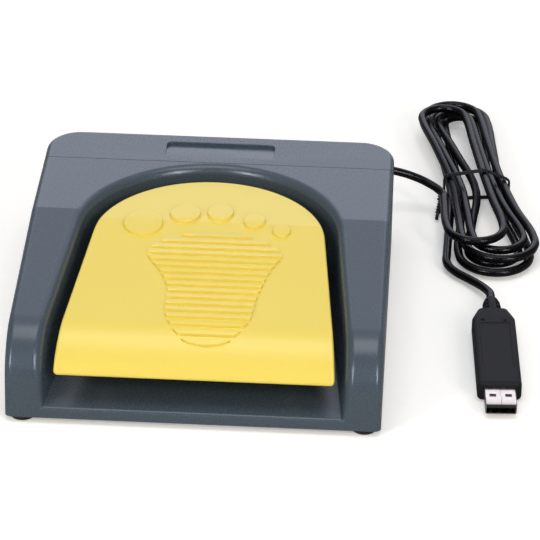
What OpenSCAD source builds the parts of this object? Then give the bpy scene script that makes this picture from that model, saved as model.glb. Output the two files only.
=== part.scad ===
// Foot pedal switch: a U-shaped housing, a hinged pedal, a corded plug with the electronics in it.
// Millimetres. X to the right, Y to the back, Z up. The origin is on the table under the housing's middle.

/* [Housing] */
// Width of the housing
housing_w = 142; // [136:1:156]
// Depth of the housing from front to back
housing_d = 158; // [154:1:166]
// Height of the flat rear deck above the table
deck_h = 41.5; // [40:0.5:46]
// Height of the rubber feet
foot_h = 2.2; // [1.6:0.1:3]
// Wall thickness of the mouldings
wall = 2.4; // [2:0.1:2.6]
// Forward slope of the deck in degrees
slope = 5.5; // [4:0.5:6.5]
// Backward lean of the front face in degrees
lean = 6; // [3:1:8]
// Distance of the deck's crease from the rear face
crease_d = 66.3; // [62:0.1:70]
// Radius of the rounded nose of the arms
nose_r = 22; // [20:0.5:24]
// Radius of the long outer edges
edge_r = 2.8; // [2.8:0.1:3.6]
// Radius of the rear corners in plan
corner_r = 13.8; // [12:0.2:16]
// Depth of the separate rear cover
cover_d = 24.5; // [23.5:0.1:25]
// Gap at the seam of the rear cover
seam = 0.3; // [0.2:0.05:0.5]

/* [Well] */
// Radius of the well's rear arch
well_r = 51; // [49.5:0.5:51]
// Rounding of the well's rim
rim_r = 3; // [2:0.25:3.25]
// Taper of the well's sides in degrees
taper = 5.5; // [4:0.5:6]
// Top of the tray floor above the housing's lower edge
floor_h = 4.3; // [4.2:0.1:5.5]

/* [Pedal] */
// Clearance between the pedal and the well's wall
pedal_gap = 5.2; // [4:0.1:6]
// Depth of the pedal's top below the deck
pedal_drop = 3.7; // [3:0.1:4.5]
// Thickness of the pedal's shell
pedal_t = 2.4; // [2:0.1:2.8]
// Depth of the pedal's skirt
skirt = 6; // [4.5:0.5:6.5]
// Height of the pedal's front edge above the table
pedal_low = 18; // [16:0.5:19]
// Height of the raised footprint
relief = 1; // [0.6:0.1:1.4]
// Full travel of the pedal in degrees
press = 4; // [3:0.25:4]

/* [Hinge] */
// Distance of the hinge line behind the housing's middle
hinge_y = 28; // [26:0.5:30]
// Height of the hinge line above the table
hinge_z = 27; // [26:0.25:27.5]
// Diameter of the hinge pin
pin_d = 4; // [3:0.25:5]
// Radial clearance of the pedal on the pin
pin_fit = 0.05; // [0.02:0.01:0.08]

/* [Cord] */
// Diameter of the cord
cord_d = 3.5; // [3.1:0.1:3.6]
// Spacing of the strands of the hank
strand = 4.2; // [4.15:0.05:4.4]

/* [Plug] */
// Width of the plug's moulding
plug_w = 17; // [16:0.25:19]
// Length of the plug's moulding
plug_l = 54; // [53:0.5:60]
// Height of the plug's moulding
plug_h = 8.4; // [8.2:0.1:9.4]

/* [Hidden] */
$fn = 48;

// Colours
grey = [0.31, 0.35, 0.40];
yellow = [0.93, 0.83, 0.42];
black = [0.05, 0.05, 0.06];
steel = [0.72, 0.73, 0.75];
gold = [0.85, 0.66, 0.28];
green = [0.08, 0.32, 0.18];
white = [0.88, 0.88, 0.86];

// Housing, derived
half_w = housing_w / 2;
half_d = housing_d / 2;
seam_y = half_d - cover_d;
floor_z = foot_h + floor_h;
plate_t = 2;
plate_fit = 0.2;
inner_z = foot_h + plate_t;
bridge_t = 2;
big = 400;
// How far a rounding stands past the faces that it joins, so that they cross and don't just touch
ease_in = 0.03;

// Side profile: the nose's centre lies one radius inside both the deck and the front face
deck_n = [-sin(slope), cos(slope)];
deck_u = [cos(slope), sin(slope)];
front_n = [-cos(lean), sin(lean)];
front_u = [sin(lean), cos(lean)];
crease = [half_d - crease_d, deck_h];
toe_line = [-half_d, foot_h];
deck_off = deck_n * crease - nose_r;
front_off = front_n * toe_line - nose_r;
det = deck_n[0] * front_n[1] - deck_n[1] * front_n[0];
nose_c = [(deck_off * front_n[1] - front_off * deck_n[1]) / det,
          (deck_n[0] * front_off - front_n[0] * deck_off) / det];
bisector = (deck_n + front_n) / (1 + deck_n * front_n);
function nose_top(d) = nose_c + (nose_r - d) * deck_n;
function nose_front(d) = nose_c + (nose_r - d) * front_n;
function crease_at(d) = crease - d * deck_n + d * (cos(slope) - 1) / sin(slope) * deck_u;
function front_at(d, z) = nose_front(d) + front_u * (z - nose_front(d)[1]) / front_u[1];
// Height of the deck's line at a depth y, lowered by d square to the surface
function deck_z(y, d) = y > crease_at(d)[0] ? deck_h - d
  : crease_at(d)[1] - (crease_at(d)[0] - y) * tan(slope);

// Pedal and hinge, derived
pedal_r = well_r - pedal_gap;
pedal_under = pedal_drop + pedal_t;
boss_r = pin_d / 2 + 2.6;
boss_x = 20.5;
boss_l = 9;
lug_x = 28;
lug_t = 4;
pin_l = 2 * lug_x + lug_t + 5;
clip_t = 0.8;

// Lever switch, derived
gap = 0.3;
sw_x = 23;
sw_w = 6.4;
sw_l = 19.8;
sw_h = 10.2;
sw_y = hinge_y - 34;
sw_z = hinge_z - 12;
sw_top = sw_z + sw_h;
lever_t = 0.5;
lever_w = 3.6;
lever_y = sw_y + 18;
lever_z = sw_top + 0.9;
touch = 14;
push = 5;
touch_y = lever_y - touch;
lever_turn = asin((hinge_y - touch_y) * sin(press) / touch);
plunger_drop = push * sin(lever_turn);
plunger_r = 1;
plunger_fit = 0.05;
rib_low = lever_z + lever_t / 2 + gap + (hinge_y - touch_y) * sin(press);
hole_step = 9.5;
hole_y = sw_y + sw_l / 2;
hole_z = sw_z + 2.9;
tab_l = 5;

// Return spring and stops
spring_y = -18;
spring_r = 6.5;
wire_r = 0.7;
turns = 7;
spigot_r = spring_r * cos(22.5) - wire_r - gap;
spring_top = deck_z(spring_y - spring_r, pedal_under) - wire_r - gap;
stop_x = 36;
stop_y = -48;
pad_r = 5;
pad_t = 2.5;
post_r = 3;
stop_low = floor_z + pad_t + gap + (hinge_y - stop_y + post_r) * sin(press);

// Fasteners
screw_r = 1.25;
pilot_r = 1.3;
screw_l = 9;
head_r = 2.6;
head_t = 1.1;
post_wall = 2.1;
arm_x = half_w - 7;
base_at = [[arm_x, -58], [-arm_x, -58], [arm_x, -8], [-arm_x, -8], [arm_x - 2, 40], [2 - arm_x, 40]];
cover_at = [[half_w - 8, half_d - 17], [8 - half_w, half_d - 17]];
foot_r = 4.3;
feet_at = [[half_w - 6.4, -half_d + 5.3], [6.4 - half_w, -half_d + 5.3],
           [half_w - 20, half_d - 9], [20 - half_w, half_d - 9]];

// Cord: the route's points were chosen by eye from the photo
exit_x = 50;
exit_z = 22;
cord_r = cord_d / 2;
clamp_y = half_d - 11;
lead_mid = [[53, half_d + 12, 21.8], [61, half_d + 15.8, 20.5], [70.5, 96.2, 18.5], [79, 96.8, 15.8],
  [85.5, 95.6, 13.4], [90, 92.6, 11.9]];
hank_c = [105.6, 105];
hank_turn = 8.5;
hank_z = 3;
hank_loops = 5;
rings = 24;
// Ends of the loops in each of three layers, from the table up: place along and across, radius
near_u = [49.5, 46, 41];
near_v = [0.5, 3, -6.5];
near_r = [14.5, 14.5, 11.5];
far_u = [68.5, 64, 55];
far_v = [2.8, -1.2, -6.5];
far_r = [11.5, 11.5, 9.5];
// Each loop's layer, and whether it lies inside the other loop of its layer, set back at both ends
loop_layer = [2, 1, 1, 0, 0];
loop_nest = [0, 0, 1, 1, 0];
near_set = 3;
far_set = 4;
// Slots at the waist, in strands: runs to the near ends and the way out, and runs to the far ends
left_slot = [-3.6, -2.5, -1.5, 0, -1.5, -2.5];
right_slot = [0.8, 2.7, 1.7, 1.7, 2.7];
// Where the cord steps down a layer, in loops, and where it leaves the hank
drop_at = [0.95, 2.95];
drop_t = 0.1;
out_u = 46;
out_v = -18.6;
tie_u = 3;
tie_w = 2.6;
tie_t = 0.85;
tie_gap = 0.35;
tie_tail_r = 0.9;
tie_tail_l = 20;

// Plug, derived
plug_tip = [116, -62.7];
plug_turn = 2.9;
plug_z = 0.1 + plug_h / 2;
shell_w = 12;
shell_h = 4.5;
shell_t = 0.3;
shell_out = 12;
shell_in = 6;
neck_r = 3.4;
neck_l = 12;
shoulder = 8;
board_w = 13;
board_l = 30;
board_t = 1.2;
tail_mid = [[94.9, 45.5, 3], [98, 40.6, 3], [102.5, 36.2, 3], [106.7, 31.6, 3.3], [109.8, 26.9, 3.8]];

// The plug's own axes on the table: x to its right, y from its tip to the cord
function plug_at(x, y, z) = [plug_tip[0] + x * cos(plug_turn) - y * sin(plug_turn),
  plug_tip[1] + x * sin(plug_turn) + y * cos(plug_turn), z];

// Hank: loop_at gives a loop's ends, run_v a run between them through slot w, loop_uv ring m of loop i
function ease(s) = (1 - cos(180 * min(1, max(0, s)))) / 2;
function loop_at(i) = i == hank_loops ? [out_u, out_v, 0, 0, 0, 0] : let (l = loop_layer[i], n = loop_nest[i])
  [near_u[l] - near_set * n, near_v[l], near_r[l] - strand * n,
   far_u[l] - far_set * n, far_v[l], far_r[l] - strand * n];
function run_v(u, w, p, s) = u <= 0 ? w + (p[1] + s * p[2] - w) * ease(-u / p[0])
  : w + (p[4] + s * p[5] - w) * ease(u / p[3]);
function loop_uv(i, m) = let (p = loop_at(i))
  m < 2 ? let (u = -p[0] * m / 2) [u, run_v(u, strand * left_slot[i], p, -1)]
  : m < 10 ? [-p[0] - p[2] * sin(22.5 * (m - 2)), p[1] - p[2] * cos(22.5 * (m - 2))]
  : m < 14 ? let (u = -p[0] + (p[0] + p[3]) * (m - 10) / 4) [u, run_v(u, strand * right_slot[i], p, 1)]
  : m < 22 ? [p[3] + p[5] * sin(22.5 * (m - 14)), p[4] + p[5] * cos(22.5 * (m - 14))]
  : let (u = p[3] * (24 - m) / 2) [u, run_v(u, strand * left_slot[i + 1], p, -1)];
function hank_h(t) = hank_z + strand * (2 - ease((t - drop_at[0]) / drop_t)
  - ease((t - drop_at[1]) / drop_t));
function hank_world(p, z) = [hank_c[0] - p[0] * sin(hank_turn) + p[1] * cos(hank_turn),
  hank_c[1] + p[0] * cos(hank_turn) + p[1] * sin(hank_turn), z];
function hank_at(k) = hank_world(loop_uv(floor(k / rings), k % rings), hank_h(k / rings));
hank_points = [for (k = [1 : hank_loops * rings + 2]) hank_at(k)];

// Smooth curve through a route's points, n steps to a stretch
function spline(p, n) = concat([for (i = [0 : len(p) - 2]) for (j = [0 : n - 1])
  let (t = j / n, a = p[max(i - 1, 0)], b = p[i], c = p[i + 1], d = p[min(i + 2, len(p) - 1)])
  0.5 * (2 * b + (c - a) * t + (2 * a - 5 * b + 4 * c - d) * t * t + (3 * b - a - 3 * c + d) * t * t * t)],
  [p[len(p) - 1]]);
function unit(v) = v / norm(v);

// Least gap of a tube of radius r to itself, on points set n to a stretch, leaving out near ones
function finer(p, n) = [for (i = [0 : len(p) - 2]) for (j = [0 : n - 1]) p[i] + (p[i + 1] - p[i]) * j / n];
function self_gap(q, apart, r) = min([for (i = [0 : len(q) - 1 - apart]) for (j = [i + apart : len(q) - 1])
  norm(q[i] - q[j])]) - 2 * r;

// Closed tube of radius r along the points p
module tube(p, r, sides) {
  n = len(p);
  dir = [for (i = [0 : n - 1]) unit(p[min(i + 1, n - 1)] - p[max(i - 1, 0)])];
  side = [for (i = [0 : n - 1]) unit(cross(dir[i], [0, 0, 1]))];
  up = [for (i = [0 : n - 1]) cross(side[i], dir[i])];
  skin = [for (i = [0 : n - 1]) for (j = [0 : sides - 1])
    p[i] + r * cos(360 * j / sides) * side[i] + r * sin(360 * j / sides) * up[i]];
  quads = [for (i = [0 : n - 2]) for (j = [0 : sides - 1])
    let (a = i * sides + j, b = i * sides + (j + 1) % sides)
    [[a, b, b + sides], [a, b + sides, a + sides]]];
  caps = [[for (j = [sides - 1 : -1 : 0]) j], [for (j = [0 : sides - 1]) (n - 1) * sides + j]];
  polyhedron(skin, concat([for (q = quads) q[0]], [for (q = quads) q[1]], caps));
}

// Extrudes a drawing of the Y-Z plane along X, centred
module along_x(w) {
  rotate([90, 0, 90]) linear_extrude(w, center = true) children();
}

// Region under the side profile, lowered by d, down to z_low and back to y_end
module profile(d, y_end, z_low) {
  r = nose_r - d;
  c = nose_c + ease_in * bisector;
  difference() {
    polygon([nose_c + r * bisector, crease_at(d), [y_end, deck_h - d], [y_end, z_low], front_at(d, z_low)]);
    difference() {
      polygon([c, c + 3 * r * deck_n, c + 3 * r * (deck_n + front_n), c + 3 * r * front_n]);
      translate(c) circle(r);
    }
  }
}

// The housing's plan set in by d, with its rear corners rounded
module housing_plan(d) {
  y_out = -half_d - 5;
  translate([d - half_w, y_out]) square([2 * (half_w - d), housing_d + 5 - corner_r]);
  translate([corner_r - half_w, y_out]) square([2 * (half_w - corner_r), housing_d + 5 - d]);
  for (s = [-1, 1]) translate([s * (half_w - corner_r), half_d - corner_r]) circle(corner_r - d);
}

// The housing's block set in by d, from z_low upwards
module block(d, z_low) {
  intersection() {
    along_x(housing_w + 10) profile(d, half_d + 5, z_low);
    translate([0, 0, z_low - 5]) linear_extrude(deck_h + 10) housing_plan(d);
  }
}

// Cutter for a rounded outer edge, drawn across it, with the sharp edge at the origin
module edge_section(e) {
  difference() {
    translate([-edge_r, -edge_r]) square(edge_r + 1);
    translate([e - edge_r, e - edge_r]) circle(edge_r);
  }
}

// Rounds the housing's long outer edges: straight runs that reach a little into the bends between them
module edge_cut() {
  c_y = half_d - corner_r;
  run = norm(crease - nose_top(0));
  reach = 0.5;
  for (s = [0, 1]) mirror([s, 0, 0]) {
    translate([half_w, c_y + reach, deck_h]) rotate([90, 0, 0])
      linear_extrude(c_y + reach - crease[0]) edge_section(ease_in);
    translate([half_w, crease[0], crease[1]]) rotate([slope, 0, 0]) rotate([90, 0, 0])
      linear_extrude(run + reach) edge_section(ease_in);
    translate([0, nose_c[0], nose_c[1]]) rotate([90, 0, 90]) rotate([0, 0, 90 + slope])
      rotate_extrude(angle = 90 - lean - slope) translate([nose_r, half_w]) edge_section(2 * ease_in);
    translate([half_w, nose_front(0)[0], nose_front(0)[1]]) rotate([90 - lean, 0, 0]) rotate([90, 0, 0])
      translate([0, 0, -reach]) linear_extrude(2 * nose_r) edge_section(ease_in);
    translate([half_w - corner_r, c_y, deck_h]) rotate_extrude(angle = 90)
      translate([corner_r, 0]) edge_section(2 * ease_in);
  }
  translate([0, half_d, deck_h]) along_x(2 * (half_w - corner_r + reach)) edge_section(ease_in);
}

// Plan of an arch of radius r with tapering sides that run out past the front
module arch_plan(r) {
  side_r = r - ease_in;
  x = side_r * cos(taper);
  y = side_r * sin(taper);
  y_out = -half_d - 12;
  x_out = x + tan(taper) * (y - y_out);
  circle(r);
  polygon([[x, y], [-x, y], [-x_out, y_out], [x_out, y_out]]);
}

// Cutter that rounds the well's rim, drawn across the edge, deck at zero
module rim_section() {
  e = 2 * ease_in;
  difference() {
    translate([-0.6, -rim_r]) square([rim_r + 0.6, rim_r + 1]);
    translate([rim_r - e, e - rim_r]) circle(rim_r);
  }
}

module rim_cut() {
  translate([0, 0, deck_h]) rotate([0, 0, taper]) rotate_extrude(angle = 180 - 2 * taper)
    translate([well_r, 0]) rim_section();
  // Along the sides the cutter stops short of the nose
  y = well_r * sin(taper) - 0.4;
  for (s = [0, 1]) mirror([s, 0, 0]) translate([well_r * cos(taper) + 0.05, y, deck_z(y, 0) + 0.02])
    rotate([0, 0, taper]) rotate([slope, 0, 0]) rotate([90, 0, 0])
      linear_extrude(y - nose_top(0)[0] - 2.6) rim_section();
}

// Post for a screw from below, with its pilot hole cut elsewhere
module screw_posts(at) {
  for (p = at) translate([p[0], p[1], inner_z]) cylinder(h = deck_h - inner_z, r = pilot_r + post_wall);
}

module pilots(at) {
  for (p = at) translate([p[0], p[1], inner_z - 1]) cylinder(h = screw_l + 1.5, r = pilot_r);
}

// Hinge lugs on the tray floor
module hinge_lugs() {
  for (s = [-1, 1]) translate([s * lug_x, hinge_y, hinge_z]) difference() {
    rotate([0, 90, 0]) {
      cylinder(h = lug_t, r = boss_r, center = true);
      translate([(hinge_z - floor_z + 0.5) / 2, 0, 0])
        cube([hinge_z - floor_z + 0.5, 2 * boss_r, lug_t], center = true);
    }
    rotate([0, 90, 0]) cylinder(h = lug_t + 2, r = pin_d / 2 + 0.02, center = true);
  }
}

// Upright plate that the lever switch is screwed to
module switch_bracket() {
  x = sw_x + sw_w / 2 + 0.1;
  difference() {
    translate([x, hole_y - 8, floor_z - 0.5]) cube([3, 16, sw_top - 1 - floor_z]);
    for (s = [-1, 1]) translate([x - 1, hole_y + s * hole_step / 2, hole_z]) rotate([0, 90, 0])
      cylinder(h = 5, r = 1);
  }
}

// What stands inside the frame's hollow: tray and well walls, screw posts, rear bulkhead
module frame_inside() {
  translate([0, 0, inner_z + 0.1]) linear_extrude(deck_h) arch_plan(well_r + bridge_t);
  screw_posts(base_at);
  translate([-half_w, seam_y - bridge_t, inner_z + 0.1]) cube([housing_w, bridge_t + 1, deck_h]);
}

module main_frame() color(grey) {
  difference() {
    block(0, foot_h);
    edge_cut();
    difference() {
      block(wall, foot_h - 1);
      frame_inside();
    }
    translate([0, 0, floor_z]) linear_extrude(deck_h) arch_plan(well_r);
    rim_cut();
    pilots(base_at);
    translate([-half_w - 5, seam_y, 0]) cube([housing_w + 10, cover_d + 5, big]);
    // Way through to the rear for the switch's leads
    translate([sw_x - 2, well_r - 12, floor_z]) cube([5, seam_y - well_r + 13, 5]);
  }
  hinge_lugs();
  switch_bracket();
  // Seat for the spring
  translate([0, spring_y, floor_z - 0.5]) cylinder(h = 3.5, r = spigot_r);
}

// Wedge-shaped finger recess in the rear cover
recess_w = 44;
recess_front = half_d - 19.8;
recess_back = half_d - 7.5;
recess_t = 1.9;
module finger_recess() {
  r = 2;
  l = recess_back - recess_front + 6;
  intersection() {
    along_x(recess_w) polygon([[recess_front, deck_h], [recess_back, deck_h - recess_t],
      [recess_back, deck_h + 1], [recess_front - 5, deck_h + 1]]);
    translate([0, 0, deck_h - 5]) linear_extrude(8) {
      translate([-recess_w / 2, recess_back - l]) square([recess_w, l - r]);
      translate([r - recess_w / 2, recess_back - l]) square([recess_w - 2 * r, l]);
      for (s = [-1, 1]) translate([s * (recess_w / 2 - r), recess_back - r]) circle(r);
    }
  }
}

shelf_z = exit_z - cord_r - 0.05;
shelf_w = 22;
shelf_t = 5;
clamp_w = 20;
clamp_l = 5;
clamp_screw_x = 7;
hole_r = cord_r + 2.4;
// What stands inside the cover: screw posts, a thicker roof under the recess, a shelf for the cord
module cover_inside() {
  screw_posts(cover_at);
  translate([-recess_w / 2 - 2, recess_front + 1, deck_h - wall - recess_t])
    cube([recess_w + 4, recess_back - recess_front + 1, 2 * wall]);
  translate([exit_x - shelf_w / 2, clamp_y - 4, shelf_z - shelf_t])
    cube([shelf_w, half_d - clamp_y + 9, shelf_t]);
}

module rear_cover() color(grey) difference() {
  block(0, foot_h);
  edge_cut();
  difference() {
    block(wall, foot_h - 1);
    cover_inside();
  }
  translate([-half_w - 5, -half_d - 5, 0]) cube([housing_w + 10, half_d + 5 + seam_y + seam, big]);
  finger_recess();
  pilots(cover_at);
  translate([exit_x, half_d - 6, exit_z]) rotate([-90, 0, 0]) cylinder(h = 10, r = hole_r);
  // Room for the grommet's inner lip
  translate([exit_x, half_d - wall - 2, exit_z]) rotate([-90, 0, 0]) cylinder(h = 2, r = hole_r + 1.5);
  for (s = [-1, 1]) translate([exit_x + s * clamp_screw_x, clamp_y, shelf_z - 4.5]) cylinder(h = 6, r = 1);
}

module base_plate() color(grey) difference() {
  intersection() {
    block(wall + plate_fit, foot_h);
    translate([-half_w, -half_d, foot_h]) cube([housing_w, housing_d, plate_t]);
  }
  for (p = concat(base_at, cover_at)) translate([p[0], p[1], foot_h - 1]) {
    cylinder(h = plate_t + 3, r = pilot_r + 0.2);
    cylinder(h = 1 + head_t + 0.2, r = head_r + 0.3);
  }
}

// Self-tapping screws from below, their heads sunk in the base plate
module base_screw_set(at) {
  for (p = at) translate([p[0], p[1], foot_h + 0.2]) {
    cylinder(h = head_t, r = head_r);
    translate([0, 0, head_t - 0.1]) cylinder(h = screw_l, r = screw_r);
  }
}

module base_screws() color(steel) base_screw_set(base_at);

module cover_screws() color(steel) base_screw_set(cover_at);

module rubber_feet() color(black) for (p = feet_at) translate([p[0], p[1], 0]) {
  cylinder(h = 0.7, r1 = foot_r - 0.9, r2 = foot_r);
  translate([0, 0, 0.7]) cylinder(h = foot_h - 0.7, r = foot_r);
}

module hinge_pin() color(steel) translate([0, hinge_y, hinge_z]) rotate([0, 90, 0]) difference() {
  cylinder(h = pin_l, r = pin_d / 2, center = true);
  // Grooves for the clips
  for (s = [-1, 1]) translate([0, 0, s * (lug_x + lug_t / 2 + 0.1 + clip_t / 2)]) difference() {
    cylinder(h = clip_t, r = pin_d, center = true);
    cylinder(h = clip_t + 1, r = pin_d / 2 - 0.4, center = true);
  }
}

module pin_clips() color(steel) for (s = [-1, 1])
  translate([s * (lug_x + lug_t / 2 + 0.1 + clip_t / 2), hinge_y, hinge_z]) rotate([0, 90, 0]) difference() {
    cylinder(h = clip_t - 0.04, r = pin_d / 2 + 1.6, center = true);
    cylinder(h = clip_t + 1, r = pin_d / 2 - 0.38, center = true);
    translate([0, pin_d, 0]) cube([pin_d * 0.7, 2 * pin_d, 2], center = true);
  }

module return_spring() color(steel) {
  steps = turns * 8;
  low = floor_z + wire_r + 0.05;
  path = [for (i = [0 : steps]) [spring_r * cos(45 * i), spring_y + spring_r * sin(45 * i),
    low + (spring_top - low) * i / steps]];
  echo(return_spring_gap = self_gap(path, 5, wire_r));
  tube(path, wire_r, 6);
}

module stop_pads() color(black) for (s = [-1, 1])
  translate([s * stop_x, stop_y, floor_z]) cylinder(h = pad_t, r = pad_r);

module switch_case() color(black) difference() {
  union() {
    translate([sw_x - sw_w / 2, sw_y, sw_z]) cube([sw_w, sw_l, sw_h]);
    // Ears that carry the lever
    for (s = [-1, 1]) translate([sw_x + s * (sw_w / 2 - 0.4) - 0.4, lever_y - 1.2, sw_top - 0.5])
      cube([0.8, 2.4, 2.5]);
  }
  translate([sw_x - 5, lever_y, lever_z]) rotate([0, 90, 0]) cylinder(h = 10, r = 0.55);
  translate([sw_x, lever_y - push, sw_top - 5]) cylinder(h = 6, r = plunger_r + plunger_fit);
  for (s = [-1, 1]) translate([sw_x - 5, hole_y + s * hole_step / 2, hole_z]) rotate([0, 90, 0])
    cylinder(h = 10, r = 1.2);
}

module switch_terminals() color(gold) for (y = [2, 9, 16]) translate([sw_x - 1.6, sw_y + y, sw_z - tab_l])
  cube([3.2, 0.5, tab_l]);

module switch_screws() color(steel) for (s = [-1, 1])
  translate([sw_x - sw_w / 2 - 1.3, hole_y + s * hole_step / 2, hole_z]) rotate([0, 90, 0]) {
    cylinder(h = 1.25, r = 1.9);
    cylinder(h = sw_w + 4, r = 0.97);
  }

lead_r = 0.6;
module switch_leads() color(white) for (i = [0, 1]) {
  x = sw_x - 0.7 + i * 2.2;
  y = sw_y + 9.5 + i * 7;
  low = floor_z + 1.2;
  over = 3 * (1 - i);
  end_x = exit_x - 1.2 + 2.4 * i;
  path = [[x, y + lead_r + 0.02, sw_z - tab_l + 1], [x, y + 7, low], [x, seam_y - 6, low],
    [x + 1, seam_y + 4, low + over], [end_x - 6, seam_y + 4, low + 6 + over],
    for (d = [20.1, 19.1, 18.1]) [end_x, half_d - d, exit_z]];
  tube(spline(path, 3), lead_r, 6);
}

module cable_clamp() color(black) difference() {
  translate([exit_x - clamp_w / 2, clamp_y - clamp_l / 2, shelf_z + 0.02])
    cube([clamp_w, clamp_l, cord_d + 2.2]);
  translate([exit_x, clamp_y - clamp_l, exit_z]) rotate([-90, 0, 0])
    cylinder(h = 2 * clamp_l, r = cord_r + 0.1);
  translate([exit_x - cord_r - 0.1, clamp_y - clamp_l, shelf_z - 3])
    cube([cord_d + 0.2, 2 * clamp_l, exit_z - shelf_z + 3]);
  for (s = [-1, 1]) translate([exit_x + s * clamp_screw_x, clamp_y, shelf_z - 1]) cylinder(h = 9, r = 1.15);
}

module clamp_screws() color(steel) for (s = [-1, 1])
  translate([exit_x + s * clamp_screw_x, clamp_y, shelf_z + cord_d + 2.25]) {
    cylinder(h = 1.3, r = 2);
    translate([0, 0, -9]) cylinder(h = 9.1, r = 0.95);
  }

module cord_grommet() color(black) translate([exit_x, 0, exit_z]) rotate([-90, 0, 0]) difference() {
  union() {
    translate([0, 0, half_d + 0.02]) cylinder(h = 2, r = hole_r + 1.4);
    translate([0, 0, half_d - wall - 1]) cylinder(h = wall + 2, r = hole_r - 0.05);
    translate([0, 0, half_d - wall - 1.5]) cylinder(h = 1.45, r = hole_r + 1.2);
  }
  translate([0, 0, half_d - 8]) cylinder(h = 16, r = cord_r + 0.03);
}

// Toes of the raised footprint: x, y and radius
toes = [[-26.4, 9.4, 8.2], [-10.4, 17.4, 6.6], [3.5, 19, 5.8], [17.3, 13.8, 5], [28.3, 7.4, 4]];
// Sole of the footprint: y, left edge and right edge
sole = [[4, -7, 14], [0, -15, 21], [-4, -21.4, 28], [-8, -22.9, 29.5], [-12, -22.2, 28.6], [-17, -19.6, 26.7],
  [-22, -16.6, 25], [-28, -14.2, 23.6], [-34, -13, 22.3], [-40, -12.8, 21], [-46, -13.2, 20.5],
  [-51, -12.6, 20], [-55, -11, 18], [-59, -8.8, 15.6], [-63, -5.6, 12.6], [-66, -1, 8.5]];
rib_step = 4;
rib_w = 2.6;
module footprint() {
  for (t = toes) translate([t[0], t[1], 0]) cylinder(h = deck_h + 5, r = t[2]);
  linear_extrude(deck_h + 5) intersection() {
    polygon(concat([for (s = sole) [s[1], s[0]]],
      [for (i = [len(sole) - 1 : -1 : 0]) [sole[i][2], sole[i][0]]]));
    for (i = [0 : 16]) translate([-40, 3.4 - rib_step * i - rib_w]) square([80, rib_w]);
  }
}

// Pedal's plan set in by d
module pedal_plan(d) {
  linear_extrude(deck_h + 5) arch_plan(pedal_r - d);
}

// Layer of the pedal between two depths below the deck
module layer(a, b) {
  along_x(housing_w) difference() {
    profile(a, half_d, pedal_low - 12);
    profile(b, half_d + 1, pedal_low - 13);
  }
}

module pedal_mounts() {
  // Hinge bosses, actuator, spring spigot and stop posts
  for (s = [-1, 1]) translate([s * boss_x, hinge_y, hinge_z]) rotate([0, 90, 0]) {
    cylinder(h = boss_l, r = boss_r, center = true);
    translate([-10, 0, 0]) cube([20, 2 * boss_r - 2, boss_l], center = true);
  }
  translate([sw_x - 4, touch_y - 1, rib_low]) cube([8, 2, 20]);
  translate([0, spring_y, spring_top - 4]) cylinder(h = 20, r = spigot_r);
  for (s = [-1, 1]) translate([s * stop_x, stop_y, stop_low]) cylinder(h = 30, r = post_r);
}

module pedal() color(yellow) difference() {
  union() {
    intersection() {
      union() {
        layer(pedal_drop, pedal_under);
        difference() {
          layer(pedal_drop, pedal_drop + skirt);
          translate([0, 0, -1]) pedal_plan(pedal_t);
        }
      }
      pedal_plan(0);
      translate([-half_w, -half_d, pedal_low]) cube([housing_w, housing_d, deck_h]);
    }
    intersection() {
      pedal_mounts();
      along_x(housing_w) profile(pedal_drop + 0.6, half_d, 1);
    }
    intersection() {
      footprint();
      layer(pedal_drop - relief, pedal_drop + 0.6);
    }
  }
  translate([0, hinge_y, hinge_z]) rotate([0, 90, 0])
    cylinder(h = 2 * boss_x + boss_l + 1, r = pin_d / 2 + pin_fit, center = true);
}

// Lever drawn level, as it is when pressed, then raised to its free position
module switch_lever() color(steel) translate([sw_x, lever_y, lever_z]) rotate([-lever_turn, 0, 0]) {
  translate([-lever_w / 2, -touch - 2, -lever_t / 2]) cube([lever_w, touch + 2, lever_t]);
  rotate([0, 90, 0]) cylinder(h = sw_w, r = 0.5, center = true);
}

module switch_plunger() color(white) translate([sw_x, lever_y - push, 0]) {
  top = lever_z - lever_t / 2 - gap + plunger_drop;
  translate([0, 0, sw_top - 3.8]) cylinder(h = top - sw_top + 3.8, r = plunger_r);
}

lead_dir = unit(hank_points[1] - hank_points[0]);
lead_route = concat([for (y = [-18, -6, 2.6, 6]) [exit_x, half_d + y, exit_z]], lead_mid,
  [for (i = [2, 1, 0]) hank_points[0] - (i * cord_d + 0.05) * lead_dir]);
module cord_lead() color(black) tube(spline(lead_route, 3), cord_r, 8);

module cord_hank() color(black) {
  echo(cord_hank_gap = self_gap(finer(hank_points, 4), 24, cord_r));
  tube(hank_points, cord_r, 6);
}

tail_start = hank_points[len(hank_points) - 1];
tail_dir = unit(tail_start - hank_points[len(hank_points) - 2]);
plug_back = shell_out + plug_l + neck_l;
tail_route = concat([for (i = [0, 1, 2]) tail_start + (i * cord_d + 0.05) * tail_dir], tail_mid,
  [for (i = [2, 1, 0]) plug_at(0, plug_back + i * cord_d + 0.05, plug_z)]);
module cord_tail() color(black) tube(spline(tail_route, 3), cord_r, 8);

// Section of the bundle at the tie, r round the middles of its outer strands
tie_ring = [[strand * left_slot[5] - 0.3, hank_z], [strand * left_slot[1] - 0.4, hank_z + 1.57 * strand],
  [strand * right_slot[0], hank_z + 2 * strand], [strand * right_slot[1] + 0.6, hank_z + strand],
  [strand * right_slot[4] + 0.6, hank_z]];
module tie_section(r) hull() for (p = tie_ring) translate(p) circle(r = r, $fn = 24);

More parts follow.
